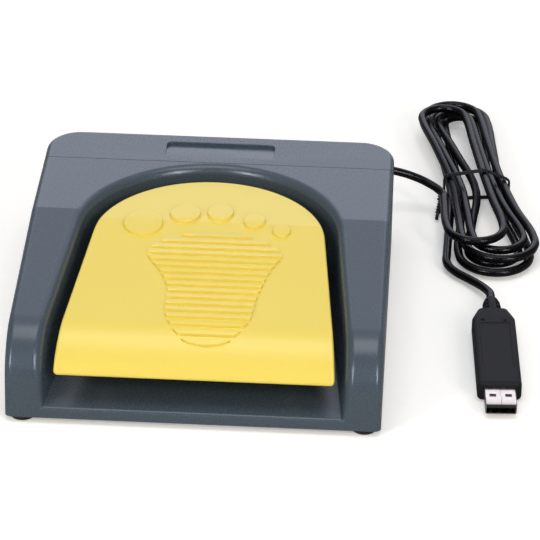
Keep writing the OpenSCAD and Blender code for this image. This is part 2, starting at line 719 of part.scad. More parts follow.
module cord_tie() color(black) translate([hank_c[0], hank_c[1], 0]) rotate([0, 0, hank_turn])
  translate([0, tie_u, 0]) {
    rotate([90, 0, 0]) linear_extrude(tie_w, center = true) difference() {
      tie_section(cord_r + tie_gap + tie_t);
      tie_section(cord_r + tie_gap);
    }
    // Twisted tail of the tie, out of its lower left corner
    translate([tie_ring[0][0] - cord_r - tie_t, tie_w / 3, tie_tail_r + 0.3]) rotate([90, 0, -14])
      cylinder(h = tie_tail_l, r = tie_tail_r);
  }

// Places a drawing in the plug's own axes
module at_plug() {
  translate([plug_tip[0], plug_tip[1], 0]) rotate([0, 0, plug_turn]) children();
}

module plug_body() color(black) at_plug() difference() {
  union() {
    intersection() {
      translate([0, 0, plug_z]) rotate([-90, 0, 0]) linear_extrude(shell_out + plug_l) {
        r = 2;
        square([plug_w - 2 * r, plug_h], center = true);
        square([plug_w, plug_h - 2 * r], center = true);
        for (a = [-1, 1]) for (b = [-1, 1]) translate([a * (plug_w / 2 - r), b * (plug_h / 2 - r)]) circle(r);
      }
      linear_extrude(plug_h + 1) polygon([[-plug_w / 2, shell_out], [plug_w / 2, shell_out],
        [plug_w / 2, shell_out + plug_l - shoulder], [neck_r + 1.8, shell_out + plug_l],
        [-neck_r - 1.8, shell_out + plug_l], [-plug_w / 2, shell_out + plug_l - shoulder]]);
    }
    translate([0, shell_out + plug_l - 1, plug_z]) rotate([-90, 0, 0]) cylinder(h = neck_l + 1, r = neck_r);
  }
  // Grooves of the flexible neck
  for (i = [0 : 3]) translate([0, plug_back - 2.6 - 2.4 * i, plug_z]) rotate([-90, 0, 0]) difference() {
    cylinder(h = 1.1, r = neck_r + 2, center = true);
    cylinder(h = 2, r = neck_r - 0.8, center = true);
  }
  // Room for the shell and the board
  translate([-shell_w / 2 - 0.05, shell_out - 1, plug_z - shell_h / 2 - 0.05])
    cube([shell_w + 0.1, shell_in + 1.1, shell_h + 0.1]);
  translate([-board_w / 2 - 0.3, shell_out + shell_in, plug_z - 2]) cube([board_w + 0.6, board_l + 1, 4.4]);
}

module usb_shell() color(steel) at_plug() difference() {
  translate([-shell_w / 2, 0, plug_z - shell_h / 2]) cube([shell_w, shell_out + shell_in, shell_h]);
  translate([shell_t - shell_w / 2, -1, plug_z - shell_h / 2 + shell_t])
    cube([shell_w - 2 * shell_t, shell_out + shell_in + 2, shell_h - 2 * shell_t]);
  // Latch windows
  for (s = [-1, 1]) translate([s * 3 - 1.25, 5.2, plug_z]) cube([2.5, 2, shell_h]);
}

tongue_t = 1.8;
tongue_z = plug_z + shell_h / 2 - shell_t - tongue_t - 0.02;
module usb_tongue() color(black) at_plug() translate([0.05 + shell_t - shell_w / 2, 0.6, tongue_z])
  cube([shell_w - 2 * shell_t - 0.1, shell_out + shell_in - 0.7, tongue_t]);

contact_w = 1;
contact_l = 9;
module usb_contacts() color(gold) at_plug() for (x = [-3.5, -1, 1, 3.5])
  translate([x - contact_w / 2, 1.2, tongue_z - 0.22]) cube([contact_w, contact_l, 0.2]);

module plug_board() color(green) at_plug() translate([-board_w / 2, shell_out + shell_in + 0.4, plug_z - 1.6])
  cube([board_w, board_l, board_t]);

chip_w = 7;
chip_t = 1.2;
module controller_chip() color(black) at_plug()
  translate([-chip_w / 2, shell_out + shell_in + 11, plug_z - 1.6 + board_t + 0.01])
    cube([chip_w, chip_w, chip_t]);

main_frame();
rear_cover();
base_plate();
base_screws();
cover_screws();
rubber_feet();
hinge_pin();
pin_clips();
return_spring();
stop_pads();
switch_case();
switch_terminals();
switch_screws();
switch_leads();
cable_clamp();
clamp_screws();
cord_grommet();
pedal();
switch_lever();
switch_plunger();
cord_lead();
cord_hank();
cord_tail();
cord_tie();
plug_body();
usb_shell();
usb_tongue();
usb_contacts();
plug_board();
controller_chip();
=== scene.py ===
"""Looks of a foot pedal switch: moulded housing, hinged pedal and corded plug, around the CAD frame."""
import logging
import math
from dataclasses import dataclass, field
from enum import Enum

import bmesh
import bpy
import numpy as np
from mathutils import Euler, Matrix, Vector


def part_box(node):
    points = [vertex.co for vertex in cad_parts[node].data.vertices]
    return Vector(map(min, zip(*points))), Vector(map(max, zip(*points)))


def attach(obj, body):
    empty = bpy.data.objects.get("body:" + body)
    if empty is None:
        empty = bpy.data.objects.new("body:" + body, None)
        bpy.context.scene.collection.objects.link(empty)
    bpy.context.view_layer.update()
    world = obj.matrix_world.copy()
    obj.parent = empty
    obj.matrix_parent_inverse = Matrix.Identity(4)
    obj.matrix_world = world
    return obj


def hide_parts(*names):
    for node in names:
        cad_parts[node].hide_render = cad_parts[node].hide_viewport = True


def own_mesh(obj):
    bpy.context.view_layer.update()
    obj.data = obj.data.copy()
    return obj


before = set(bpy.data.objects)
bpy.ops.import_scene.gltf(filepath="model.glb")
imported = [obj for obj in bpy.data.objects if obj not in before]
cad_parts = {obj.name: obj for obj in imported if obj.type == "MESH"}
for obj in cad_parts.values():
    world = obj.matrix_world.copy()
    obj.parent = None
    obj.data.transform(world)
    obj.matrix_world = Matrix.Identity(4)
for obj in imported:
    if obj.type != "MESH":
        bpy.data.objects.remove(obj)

LOG = logging.getLogger("foot_pedal")
MM = 0.001
Point = tuple[float, float, float]
Pair = tuple[float, float]
Pairs = list[Pair] | tuple[Pair, ...]
Vec = np.ndarray | tuple
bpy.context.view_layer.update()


def linear(code: str) -> tuple[float, float, float, float]:
    """Turn an sRGB hex colour into linear values.

    Args:
        code: Colour such as "#5a6570".

    Returns:
        Linear red, green, blue and an alpha of one.
    """
    values = [int(code[i:i + 2], 16) / 255 for i in (1, 3, 5)]
    return tuple(v / 12.92 if v <= 0.04045 else ((v + 0.055) / 1.055) ** 2.4 for v in values) + (1.0,)


def add(tree: bpy.types.NodeTree, kind: str, links: dict | None = None, **settings) -> bpy.types.Node:
    """Add a node with its settings, values and links.

    Args:
        tree: Tree that gets the node.
        kind: Blender's name for the node type.
        links: Input name or number, to a value or to what feeds it: a socket, a node that stands for
            its first output, or a list of nodes.
        settings: Properties of the node itself.

    Returns:
        The new node.
    """
    node = tree.nodes.new(kind)
    for key, value in settings.items():
        setattr(node, key, value)
    for key, value in (links or {}).items():
        for source in value if isinstance(value, list) else [value]:
            if isinstance(source, bpy.types.Node):
                source = source.outputs[0]
            if isinstance(source, bpy.types.NodeSocket):
                tree.links.new(source, node.inputs[key])
            else:
                node.inputs[key].default_value = source
    return node


def placed(name: str, data: bpy.types.ID) -> bpy.types.Object:
    """Make an object and link it to the scene.

    Args:
        name: Name of the object.
        data: Its mesh, curve, lamp or camera.

    Returns:
        The new object.
    """
    made = bpy.data.objects.new(name, data)
    bpy.context.scene.collection.objects.link(made)
    return made


class Surface(Enum):
    """How a surface was made, which decides the pattern that the eye finds on it."""

    SPARK = "spark-eroded mould texture"
    SATIN = "satin mould finish"
    EXTRUDED = "extruded jacket"
    PLATED = "plated sheet metal"
    DRAWN = "drawn wire or turned steel"
    LAMINATE = "lacquered laminate"


# How the grain of metal is drawn out along the way it was rolled or drawn
STRETCH = {Surface.DRAWN: (0.08, 1.0, 1.0), Surface.PLATED: (1.0, 0.06, 1.0)}
# How far roughness wanders with the grain, on drawn-out metal and on mouldings
ROUGH_SPREAD = {True: 0.18, False: 0.12}
# Size in millimetres of the soft clouds in a moulding's colour
CLOUD = 28.0


@dataclass(frozen=True)
class Finish:
    """A real material and its surface. Grain finer than 0.2 mm is drawn that coarse, so that it shows.

    Attributes:
        name: Common name and making of the material.
        colour: sRGB hex of the body colour.
        surface: How the surface was made.
        rough: Middle roughness.
        grain: Size of the surface's grain in millimetres.
        depth: Height of the grain in millimetres.
        mottle: How far the colour wanders, as a share of its brightness.
        metal: Metallic value.
        ior: Index of refraction, left at the default on metals.
        coat: Weight of a clear top layer.
    """

    name: str
    colour: str
    surface: Surface
    rough: float
    grain: float
    depth: float
    mottle: float
    metal: float = 0.0
    ior: float = 1.5
    coat: float = 0.0

    def shade(self, factor: float) -> tuple[float, float, float, float]:
        """Return the body colour made lighter or darker by a factor, in linear values."""
        return tuple(min(1.0, c * factor) for c in linear(self.colour)[:3]) + (1.0,)

    def material(self) -> bpy.types.Material:
        """Build the material's nodes once and return it.

        Returns:
            The material, shared by every piece that has this finish.
        """
        found = bpy.data.materials.get(self.name)
        if found:
            return found
        made = bpy.data.materials.new(self.name)
        made.use_nodes = True
        tree = made.node_tree
        tree.nodes.clear()
        place = add(tree, "ShaderNodeTexCoord").outputs["Object"]
        if self.surface in STRETCH:
            place = add(tree, "ShaderNodeMapping", {"Vector": place, "Scale": STRETCH[self.surface]})
        grain = add(tree, "ShaderNodeTexNoise", {"Vector": place, "Scale": 1 / (self.grain * MM),
                                                 "Detail": 3.0, "Roughness": 0.6})
        cloud = add(tree, "ShaderNodeTexNoise", {"Vector": place, "Scale": 1 / (CLOUD * MM), "Detail": 2.0})
        colour = add(tree, "ShaderNodeMix", {"Factor": cloud.outputs["Fac"], 6: self.shade(1 - self.mottle),
                                             7: self.shade(1 + self.mottle)}, data_type="RGBA").outputs[2]
        spread = ROUGH_SPREAD[self.surface in STRETCH]
        rough = add(tree, "ShaderNodeMapRange", {"Value": grain.outputs["Fac"],
                                                 "From Min": 0.3, "From Max": 0.7,
                                                 "To Min": self.rough - spread / 2,
                                                 "To Max": self.rough + spread / 2})
        bump = add(tree, "ShaderNodeBump", {"Height": grain.outputs["Fac"], "Strength": 1.0,
                                            "Distance": self.depth * MM})
        values = {"Base Color": colour, "Roughness": rough, "Normal": bump,
                  "Metallic": self.metal, "Coat Weight": self.coat}
        if not self.metal:
            values["IOR"] = self.ior
        shader = add(tree, "ShaderNodeBsdfPrincipled", values)
        add(tree, "ShaderNodeOutputMaterial", {"Surface": shader})
        return made


# Slate-grey ABS with a fine spark texture: dull, a soft sheen at low angles
GREY_ABS = Finish("abs_slate_spark_textured", "#434f5b", Surface.SPARK, 0.28, 0.35, 0.005, 0.02)
# Yellow ABS off a finer mould: smoother, so the rolled front catches a soft band of light
YELLOW_ABS = Finish("abs_yellow_satin_moulded", "#ebd562", Surface.SATIN, 0.32, 0.3, 0.005, 0.012)
# Black PVC of the plug, moulded straight onto the cord: deep and matt, with a fine grain
BLACK_PVC = Finish("pvc_black_overmoulded", "#0e0e11", Surface.SATIN, 0.72, 0.45, 0.03, 0.1, ior=1.4)
# Black PVC jacket: drawn through a die, smooth, with a soft and faintly uneven sheen
JACKET = Finish("pvc_black_extruded_jacket", "#060607", Surface.EXTRUDED, 0.28, 0.9, 0.01, 0.12, ior=1.3)
# Dull rubber of the feet and pads: no sheen, faintly mottled
RUBBER = Finish("rubber_black_moulded", "#1a1a1b", Surface.SATIN, 0.75, 0.4, 0.02, 0.15)
# Nickel-plated sheet of the plug's shell: bright, with fine rolling lines
NICKEL = Finish("steel_nickel_plated_sheet", "#cdc4bb", Surface.PLATED, 0.22, 0.25, 0.002, 0.04, metal=1.0)
# Zinc-plated steel of pins, wire and screws: greyer, with drawing marks
ZINC = Finish("steel_zinc_plated_drawn", "#b4b7bb", Surface.DRAWN, 0.3, 0.25, 0.003, 0.06, metal=1.0)
# Gold flash on copper alloy: warm and smooth
GOLD = Finish("copper_gold_flashed", "#d8a94a", Surface.PLATED, 0.25, 0.2, 0.001, 0.05, metal=1.0)
# Black PBT of the switch and clamp: even and slightly glossy
BLACK_PBT = Finish("pbt_black_moulded", "#1c1d20", Surface.SATIN, 0.4, 0.4, 0.006, 0.08)
# White POM of the plunger and lead jackets: waxy
WHITE_POM = Finish("pom_white_moulded", "#d9d8d2", Surface.SATIN, 0.38, 0.5, 0.005, 0.03)
# Glass-epoxy board under green lacquer: clear and glossy over a faintly uneven green
GREEN_BOARD = Finish("glass_epoxy_green_lacquered", "#1d5a37", Surface.LAMINATE, 0.3, 0.6, 0.004, 0.12,
                     coat=0.4)
# White paper of the sweep: matt and even
PAPER = Finish("paper_white_sweep", "#f4f4f2", Surface.SATIN, 0.9, 1.5, 0.01, 0.004)


def dress(piece: bpy.types.Object, body: str, slot: str, nodes: tuple[str, ...] = ()) -> bpy.types.Object:
    """Tie a finished piece to the frame.

    Args:
        piece: Object whose mesh is final.
        body: CAD body that carries it.
        slot: The record's material slot.
        nodes: CAD nodes that it stands for.

    Returns:
        The same piece.
    """
    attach(piece, body)
    if nodes:
        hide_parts(*nodes)
    LOG.info("%s rides on %s, slot %s, for %s", piece.name, body, slot, ", ".join(nodes) or "itself")
    return piece


class Skin:
    """Points and faces in millimetres that become one mesh object."""

    def __init__(self) -> None:
        """Start empty."""
        self.points: list[Point] = []
        self.faces: list[list[int]] = []

    def face(self, points: list) -> None:
        """Add one face.

        Args:
            points: Its corners in order.
        """
        start = len(self.points)
        self.points += [tuple(map(float, p)) for p in points]
        self.faces.append(list(range(start, start + len(points))))

    def grid(self, rows: list, closed: bool = False) -> None:
        """Add quads between rows of points.

        Args:
            rows: Lists of points, all of one length.
            closed: Whether each row joins its last point to its first.
        """
        start, n = len(self.points), len(rows[0])
        self.points += [tuple(map(float, p)) for row in rows for p in row]
        for i in range(len(rows) - 1):
            for j in range(n if closed else n - 1):
                k = (j + 1) % n
                a, b = start + i * n, start + (i + 1) * n
                self.faces.append([a + j, a + k, b + k, b + j])

    def loft(self, rings: list) -> None:
        """Add a tube through closed rings of points, with both its ends.

        Args:
            rings: Lists of points, all of one length.
        """
        self.grid(rings, closed=True)
        self.face(rings[0])
        self.face(rings[-1])

    def lathe(self, profile: Pairs, centre: Point, steps: int = 32) -> None:
        """Turn a profile about an upright axis, and close its ends.

        Args:
            profile: Pairs of radius and height, from one end to the other.
            centre: Point on the axis at height zero.
            steps: Facets round the axis.
        """
        x, y, z = centre
        self.loft([level(bow(x, y, r, circle(steps)), z + h) for r, h in profile])

    def slab(self, outline: Pairs, low: float, high: float, round_r: float) -> None:
        """Add a plate with rounded rims from a convex outline, square to the x axis.

        Args:
            outline: Pairs along y and z, in order.
            low: Lower end along x.
            high: Upper end along x.
            round_r: Rounding of both rims.
        """
        flat = np.array(outline, float)
        middle = flat.mean(0)
        rows = []
        for end, side in ((low, 1), (high, -1)):
            steps = [math.radians(a) for a in (0, 30, 60, 90)]
            for a in steps if side > 0 else reversed(steps):
                inset = round_r * (1 - math.sin(a))
                away = flat - middle
                ring = middle + away * (1 - inset / np.maximum(np.linalg.norm(away, axis=1), 1e-6))[:, None]
                at = end + side * round_r * (1 - math.cos(a))
                rows.append([(at, p[0], p[1]) for p in ring])
        self.loft(rows)

    def mirror(self) -> None:
        """Add the same faces on the other side of the plane x = 0."""
        start = len(self.points)
        self.points += [(-x, y, z) for x, y, z in self.points]
        self.faces += [[start + i for i in reversed(f)] for f in self.faces]

    def piece(self, name: str, finish: Finish, merge: float = 0.004, crease: float = 32,
              ridge_y: float | None = None) -> bpy.types.Object:
        """Make the object, with doubles merged, faces outward and fillets shaded smooth.

        Args:
            name: Name of the object.
            finish: Its material.
            merge: Distance in millimetres under which points are one.
            crease: Angle in degrees above which an edge stays sharp.
            ridge_y: Place of a flat ridge across the top, which stays sharp too.

        Returns:
            The new object, in metres at the origin.
        """
        mesh = bpy.data.meshes.new(name)
        mesh.from_pydata([(x * MM, y * MM, z * MM) for x, y, z in self.points], [], self.faces)
        edit = bmesh.new()
        edit.from_mesh(mesh)
        bmesh.ops.remove_doubles(edit, verts=edit.verts, dist=merge * MM)
        bmesh.ops.dissolve_degenerate(edit, edges=edit.edges, dist=merge * MM / 2)
        bmesh.ops.holes_fill(edit, edges=[e for e in edit.edges if e.is_boundary], sides=3)
        bmesh.ops.recalc_face_normals(edit, faces=edit.faces)
        edit.to_mesh(mesh)
        edit.free()
        mesh.materials.append(finish.material())
        mesh.shade_smooth()
        mesh.set_sharp_from_angle(angle=math.radians(crease))
        near, above = 0.3, 30
        for line in mesh.edges if ridge_y is not None else ():
            ends = [mesh.vertices[i].co / MM for i in line.vertices]
            if all(abs(p.y - ridge_y) < near and p.z > above for p in ends):
                line.use_edge_sharp = True
        made = placed(name, mesh)
        weighted = made.modifiers.new("even_flats", "WEIGHTED_NORMAL")
        weighted.keep_sharp = True
        weighted.weight = 100
        return made


def baked(piece: bpy.types.Object) -> bpy.types.Object:
    """Turn an object with modifiers into a plain mesh object of the same name.

    Args:
        piece: Object whose modifiers are to be applied.

    Returns:
        The plain object.
    """
    graph = bpy.context.evaluated_depsgraph_get()
    mesh = bpy.data.meshes.new_from_object(piece.evaluated_get(graph), depsgraph=graph)
    name = piece.name
    bpy.data.objects.remove(piece)
    mesh.name = name
    return placed(name, mesh)


def grown(tree: bpy.types.NodeTree, name: str, values: dict, finish: Finish,
          seed_mesh: bpy.types.Mesh) -> bpy.types.Object:
    """Run a Geometry Nodes tree on a seed mesh and keep its result as a plain mesh.

    Args:
        tree: The tree, whose inputs are named.
        name: Name of the finished object.
        values: Input name to value.
        finish: Its material.
        seed_mesh: Points or faces that the tree starts from.

    Returns:
        The finished object.
    """
    made = placed(name, seed_mesh)
    step = made.modifiers.new("grow", "NODES")
    step.node_group = tree
    values = {**values, "Finish": finish.material()}
    for item in tree.interface.items_tree:
        if item.in_out == "INPUT" and item.name in values:
            step[item.identifier] = values[item.name]
    return baked(made)


def new_tree(name: str, *floats: str) -> tuple[bpy.types.NodeTree, bpy.types.Node]:
    """Start a Geometry Nodes tree with a geometry, some numbers and a finish as its inputs.

    Args:
        name: Name of the tree.
        floats: Names of its numbers.

    Returns:
        The tree and its input node.
    """
    tree = bpy.data.node_groups.new(name, "GeometryNodeTree")
    kinds = {"Geometry": "Geometry", **dict.fromkeys(floats, "Float"), "Finish": "Material"}
    for key, kind in kinds.items():
        tree.interface.new_socket(key, in_out="INPUT", socket_type="NodeSocket" + kind)
    tree.interface.new_socket("Geometry", in_out="OUTPUT", socket_type="NodeSocketGeometry")
    return tree, add(tree, "NodeGroupInput")


def end_tree(tree: bpy.types.NodeTree, made: bpy.types.Node, finish: bpy.types.NodeSocket) -> None:
    """Close a tree with real instances and its material.

    Args:
        tree: The tree to close.
        made: Node that gives the finished geometry.
        finish: Socket that carries the material.
    """
    real = add(tree, "GeometryNodeRealizeInstances", {"Geometry": made})
    skin = add(tree, "GeometryNodeSetMaterial", {"Geometry": real, "Material": finish})
    add(tree, "NodeGroupOutput", {0: skin})


def arc(steps: int, low: float = 0.0, high: float = 90.0) -> list[float]:
    """Return evenly spaced angles in radians from low to high degrees."""
    return [math.radians(low + (high - low) * k / steps) for k in range(steps + 1)]


def circle(steps: int) -> list[float]:
    """Return evenly spaced angles in radians round a full turn."""
    return arc(steps, 0, 360)[:-1]


def bow(x: float, y: float, r: float, angles: list[float]) -> list[Pair]:
    """Return the points at these angles on a circle about (x, y)."""
    return [(x + r * math.cos(a), y + r * math.sin(a)) for a in angles]


def level(points: list[Pair], z: float) -> list[Point]:
    """Return points in plan at a height."""
    return [(*p, z) for p in points]


def shares(count: int) -> list[float]:
    """Return the even steps of a walk from 0 to 1, without its start."""
    return [k / count for k in range(1, count + 1)]


def corners(half_w: float, half_h: float, r: float, steps: int) -> list[list[Pair]]:
    """Round the corners of a rectangle about the origin.

    Args:
        half_w: Half its width.
        half_h: Half its height.
        r: Radius of its corners.
        steps: Facets of each corner.

    Returns:
        The points of each corner, counter-clockwise from the upper right.
    """
    sides = ((1, 1, 0), (-1, 1, 90), (-1, -1, 180), (1, -1, 270))
    return [bow(sx * (half_w - r), sz * (half_h - r), r, arc(steps, start, start + 90))
            for sx, sz, start in sides]


def fillet(edge: Vec, along: Vec, down: Vec, radius: float, steps: int = 6) -> list[np.ndarray]:
    """Round an edge between two faces that meet about square.

    Args:
        edge: Point on the sharp edge.
        along: Unit direction away from it in the first face.
        down: Unit direction away from it in the second face.
        radius: Radius of the rounding.
        steps: Facets of the rounding.

    Returns:
        Points from the second face to the first.
    """
    edge, along, down = (np.array(v, float) for v in (edge, along, down))
    return [edge + radius * (1 - math.sin(a)) * down + radius * (1 - math.cos(a)) * along for a in arc(steps)]


def unit(v: Vec) -> np.ndarray:
    """Return the vector at a length of one."""
    v = np.array(v, float)
    return v / np.linalg.norm(v)


@dataclass
class SideProfile:
    """Side line of the housing: flat rear deck, slope, rounded nose, leaning front. Millimetres.

    Attributes:
        deck_h: Height of the rear deck.
        low: Height of the lower edge.
        slope: Fall of the deck towards the front in degrees.
        lean: Lean of the front face in degrees.
        crease_y: Where the deck starts to fall.
        toe_y: Foot of the front face.
        nose_r: Radius of the nose.
    """

    deck_h: float = 41.5
    low: float = 2.2
    slope: float = 5.5
    lean: float = 6.0
    crease_y: float = 12.7
    toe_y: float = -79.0
    nose_r: float = 22.0

    def __post_init__(self) -> None:
        """Work out the nose's centre, one radius inside the slope and the front."""
        s, l = math.radians(self.slope), math.radians(self.lean)
        self.deck_n = np.array([-math.sin(s), math.cos(s)])
        self.front_n = np.array([-math.cos(l), math.sin(l)])
        self.front_u = np.array([math.sin(l), math.cos(l)])
        rows = np.array([self.deck_n, self.front_n])
        offs = np.array([self.deck_n @ (self.crease_y, self.deck_h), self.front_n @ (self.toe_y, self.low)])
        self.nose_c = np.linalg.solve(rows, offs - self.nose_r)

    def crease(self, d: float) -> np.ndarray:
        """Work out the crease between deck and slope.

        Args:
            d: Depth below the housing's line.

        Returns:
            The crease's place along and its height.
        """
        s = math.radians(self.slope)
        shift = d * (math.cos(s) - 1) / math.sin(s)
        rise = np.array([math.cos(s), math.sin(s)])
        return np.array([self.crease_y, self.deck_h]) - d * self.deck_n + shift * rise

    def top_z(self, y: float, d: float = 0.0) -> float:
        """Return the height at y of the deck or slope, lowered by d."""
        c = self.crease(d)
        return self.deck_h - d if y > c[0] else c[1] - (c[0] - y) * math.tan(math.radians(self.slope))

    def normal(self, turn: float) -> np.ndarray:
        """Return the outward direction, turn degrees forward of straight up."""
        return np.array([-math.sin(math.radians(turn)), math.cos(math.radians(turn))])

    def nose_turn(self, d: float, z: float) -> float:
        """Return how far round the nose, lowered by d, the height z lies, in degrees."""
        return math.degrees(math.acos((z - self.nose_c[1]) / (self.nose_r - d)))

    def nose(self, d: float, end: float | None = None, steps: int = 16) -> list[tuple]:
        """Return points and outward directions round the nose, lowered by d.

        Args:
            d: Depth below the housing's line.
            end: Turn in degrees at which to stop, or the start of the front face.
            steps: Facets.

        Returns:
            Pairs of point and direction, from the slope down.
        """
        turns = np.linspace(self.slope, 90 - self.lean if end is None else end, steps + 1)
        return [(self.nose_c + (self.nose_r - d) * self.normal(t), self.normal(t)) for t in turns]

    def front(self, d: float, z: float) -> np.ndarray:
        """Return the point of the front face at height z, lowered by d."""
        p = self.nose_c + (self.nose_r - d) * self.front_n
        return p + self.front_u * (z - p[1]) / self.front_u[1]

    def height(self, y: float, d: float) -> tuple[np.ndarray, np.ndarray]:
        """Find the line, nose included, above a place.

        Args:
            y: The place along.
            d: Depth below the housing's line.

        Returns:
            The point there and the outward direction.
        """
        if y > self.crease(d)[0]:
            return np.array([y, self.deck_h - d]), np.array([0.0, 1.0])
        top = self.nose_c + (self.nose_r - d) * self.deck_n
        if y > top[0]:
            return np.array([y, self.top_z(y, d)]), self.deck_n
        across = (self.nose_c[0] - y) / (self.nose_r - d)
        n = np.array([-across, math.sqrt(max(0.0, 1 - across * across))])
        return self.nose_c + (self.nose_r - d) * n, n


@dataclass
class Housing:
    """The two grey mouldings: a U-shaped frame with its tray, and the cover across the back. Millimetres."""

    line: SideProfile = field(default_factory=SideProfile)
    half_w: float = 71.0
    back_y: float = 79.0
    seam_y: float = 54.5
    seam: float = 0.3
    edge_r: float = 2.8
    corner_r: float = 13.8
    # The well: radius of its arch at the deck, how its wall leans, and how its sides open to the front
    well_r: float = 51.1
    draft: float = 0.068
    taper: float = 5.5
    # Facets of the arch on the deck and on the slope
    arch_steps: int = 44
    slope_steps: int = 4
    # Rounding of the well's rim, of the same at the foot of the front, and of the tray's lip
    rim_r: float = 3.2
    front_r: float = 1.6
    lip_r: float = 1.4
    floor_z: float = 6.5
    floor_r: float = 0.8
    wall: float = 2.4
    plate_top: float = 4.25
    # Finger recess: width, ends, depth at the back, corners, rounding of its rim, lean of its walls
    recess_w: float = 44.0
    recess_y: Pair = (59.2, 71.5)
    recess_t: float = 1.4
    recess_r: float = 2.4
    recess_soft: float = 0.4
    recess_lean: float = 0.05
    # Posts on the tray: hinge lugs, the switch's bracket and the spring's seat, rooted in the floor
    hinge: Pair = (28.0, 27.0)
    lug_x: float = 28.0
    lug_r: float = 4.6
    lug_t: float = 4.0
    bracket_x: Pair = (26.3, 29.3)
    bracket_y: Pair = (-4.1, 11.9)
    bracket_top: float = 24.2
    seat_y: float = -18.0
    seat: tuple = ((4.9, 9.0), (4.6, 9.4), (4.2, 9.5))
    post_soft: float = 0.4
    root: float = 0.5

    def radius(self, z: float) -> float:
        """Return the radius of the well's arch at a height: the wall leans for its mould."""
        return self.well_r - (self.line.deck_h - z) * self.draft

    def wall_x(self, y: float, z: float) -> float:
        """Return how far out the well's straight side lies."""
        t = math.radians(self.taper)
        return (self.radius(z) - y * math.sin(t)) / math.cos(t)

    def in_wall(self, ny: float, nz: float) -> np.ndarray:
        """Return the way into the body, along the well's side wall, under a surface of that normal."""
        t = math.radians(self.taper)
        return unit(((-nz * self.draft + ny * math.sin(t)) / math.cos(t), -ny, -nz))

    def rim(self) -> dict[str, list]:
        """Work out the rounded rim from the arch's middle, along the right side, to the lip's middle.

        Returns:
            Lists of rounded sections by stretch: deck, slope, nose, front, corner and lip.
        """
        t = math.radians(self.taper)
        part: dict[str, list] = {k: [] for k in ("deck", "slope", "nose", "front", "corner", "lip")}
        crease_a = math.degrees(math.asin(self.line.crease_y / (self.well_r + self.rim_r)))
        part["deck"] = [self.arch_section(a) for a in arc(self.arch_steps, 90, crease_a)]
        part["slope"] = [self.arch_section(a) for a in arc(self.slope_steps, crease_a, self.taper)]
        nose = self.line.nose(0)
        top_y = nose[0][0][0]
        # The arch ends near this place, which gives the height there
        arch_end = 5
        y0 = self.radius(self.line.top_z(arch_end)) * math.sin(t)
        for f in shares(12):
            y = y0 + (top_y - y0) * f
            z = self.line.top_z(y)
            # The rim turns from square to the leaning wall to straight across
            turn = math.sin(t) * (1 - f)
            along = unit((1, turn, turn * math.tan(math.radians(self.line.slope))))
            down = self.in_wall(*self.line.deck_n)
            part["slope"].append(fillet((self.wall_x(y, z), y, z), along, down, self.rim_r))
        for p, m in nose:
            part["nose"].append(fillet((self.wall_x(*p), *p), (1, 0, 0), self.in_wall(*m), self.rim_r))
        low, down = self.floor_z + self.floor_r, self.in_wall(*self.line.front_n)
        for f in shares(6):
            p = self.line.front(0, nose[-1][0][1] * (1 - f) + low * f)
            r = self.rim_r + (self.front_r - self.rim_r) * f ** 2
            part["front"].append(fillet((self.wall_x(*p), *p), (1, 0, 0), down, r))
        cx = self.wall_x(*self.line.front(0, low)) - self.floor_r
        for f in shares(6):
            b = math.radians(90 * f)
            p = self.line.front(0, low - self.floor_r * math.sin(b))
            inward = unit(down * (1 - f) + np.array((0, 1.0, 0)) * f)
            out = (math.cos(b), *(-self.line.front_u * math.sin(b)))
            r = self.front_r + (self.lip_r - self.front_r) * f
            part["corner"].append(fillet((cx + self.floor_r * math.cos(b), *p), out, inward, r))
        lip = self.line.front(0, self.floor_z)
        for f in shares(8):
            part["lip"].append(fillet((cx * (1 - f), *lip), (0, *-self.line.front_u), (0, 1, 0), self.lip_r))
        return part

    def arch_section(self, a: float) -> list[np.ndarray]:
        """Round the arch's rim at one place.

        Args:
            a: Angle from the right-hand side.

        Returns:
            The rounded section there.
        """
        c, s = math.cos(a), math.sin(a)
        z = self.line.top_z(self.well_r * s)
        r = self.radius(z)
        rise = math.tan(math.radians(self.line.slope)) if self.well_r * s < self.line.crease_y else 0.0
        down = unit((-c * self.draft, -s * self.draft, -1))
        return fillet((r * c, r * s, z), unit((c, s, s * rise)), down, self.rim_r)

    def outer_edge(self) -> list[list[np.ndarray]]:
        """Round the long right-hand edge, from the seam to the foot of the front.

        Returns:
            Its rounded sections.
        """
        up = np.array([0.0, 1.0])
        stations = [(np.array([self.seam_y, self.line.deck_h]), up),
                    (self.line.crease(0), unit(up + self.line.deck_n))]
        stations += self.line.nose(0) + [(self.line.front(0, self.line.low), self.line.front_n)]
        return [fillet((self.half_w, *p), (-1, 0, 0), (0, *-n), self.edge_r) for p, n in stations]

    def build_frame(self) -> bpy.types.Object:
        """Build the U-shaped frame with its well and tray, and what stands on the tray.

        Returns:
            The frame's object.
        """
        skin = Skin()
        part = self.rim()
        rim = sum(part.values(), [])
        skin.grid(rim)
        edge = self.outer_edge()
        skin.grid(edge)
        tops = {k: [s[-1] for s in v] for k, v in part.items()}
        seam_top = np.array([0, self.seam_y, self.line.deck_h])
        skin.face(tops["deck"] + [edge[1][-1], edge[0][-1], seam_top])
        skin.face([tops["deck"][-1]] + tops["slope"][1:] + [edge[2][-1], edge[1][-1]])
        for k in range(len(part["nose"]) - 1):
            skin.grid([[tops["nose"][k], edge[2 + k][-1]], [tops["nose"][k + 1], edge[3 + k][-1]]])
        foot_front = self.line.front(0, self.line.low)
        last = edge[-1]
        skin.face([tops["nose"][-1]] + tops["front"] + tops["corner"] + tops["lip"]
                  + [(0, *foot_front), last[-1], edge[-2][-1]])
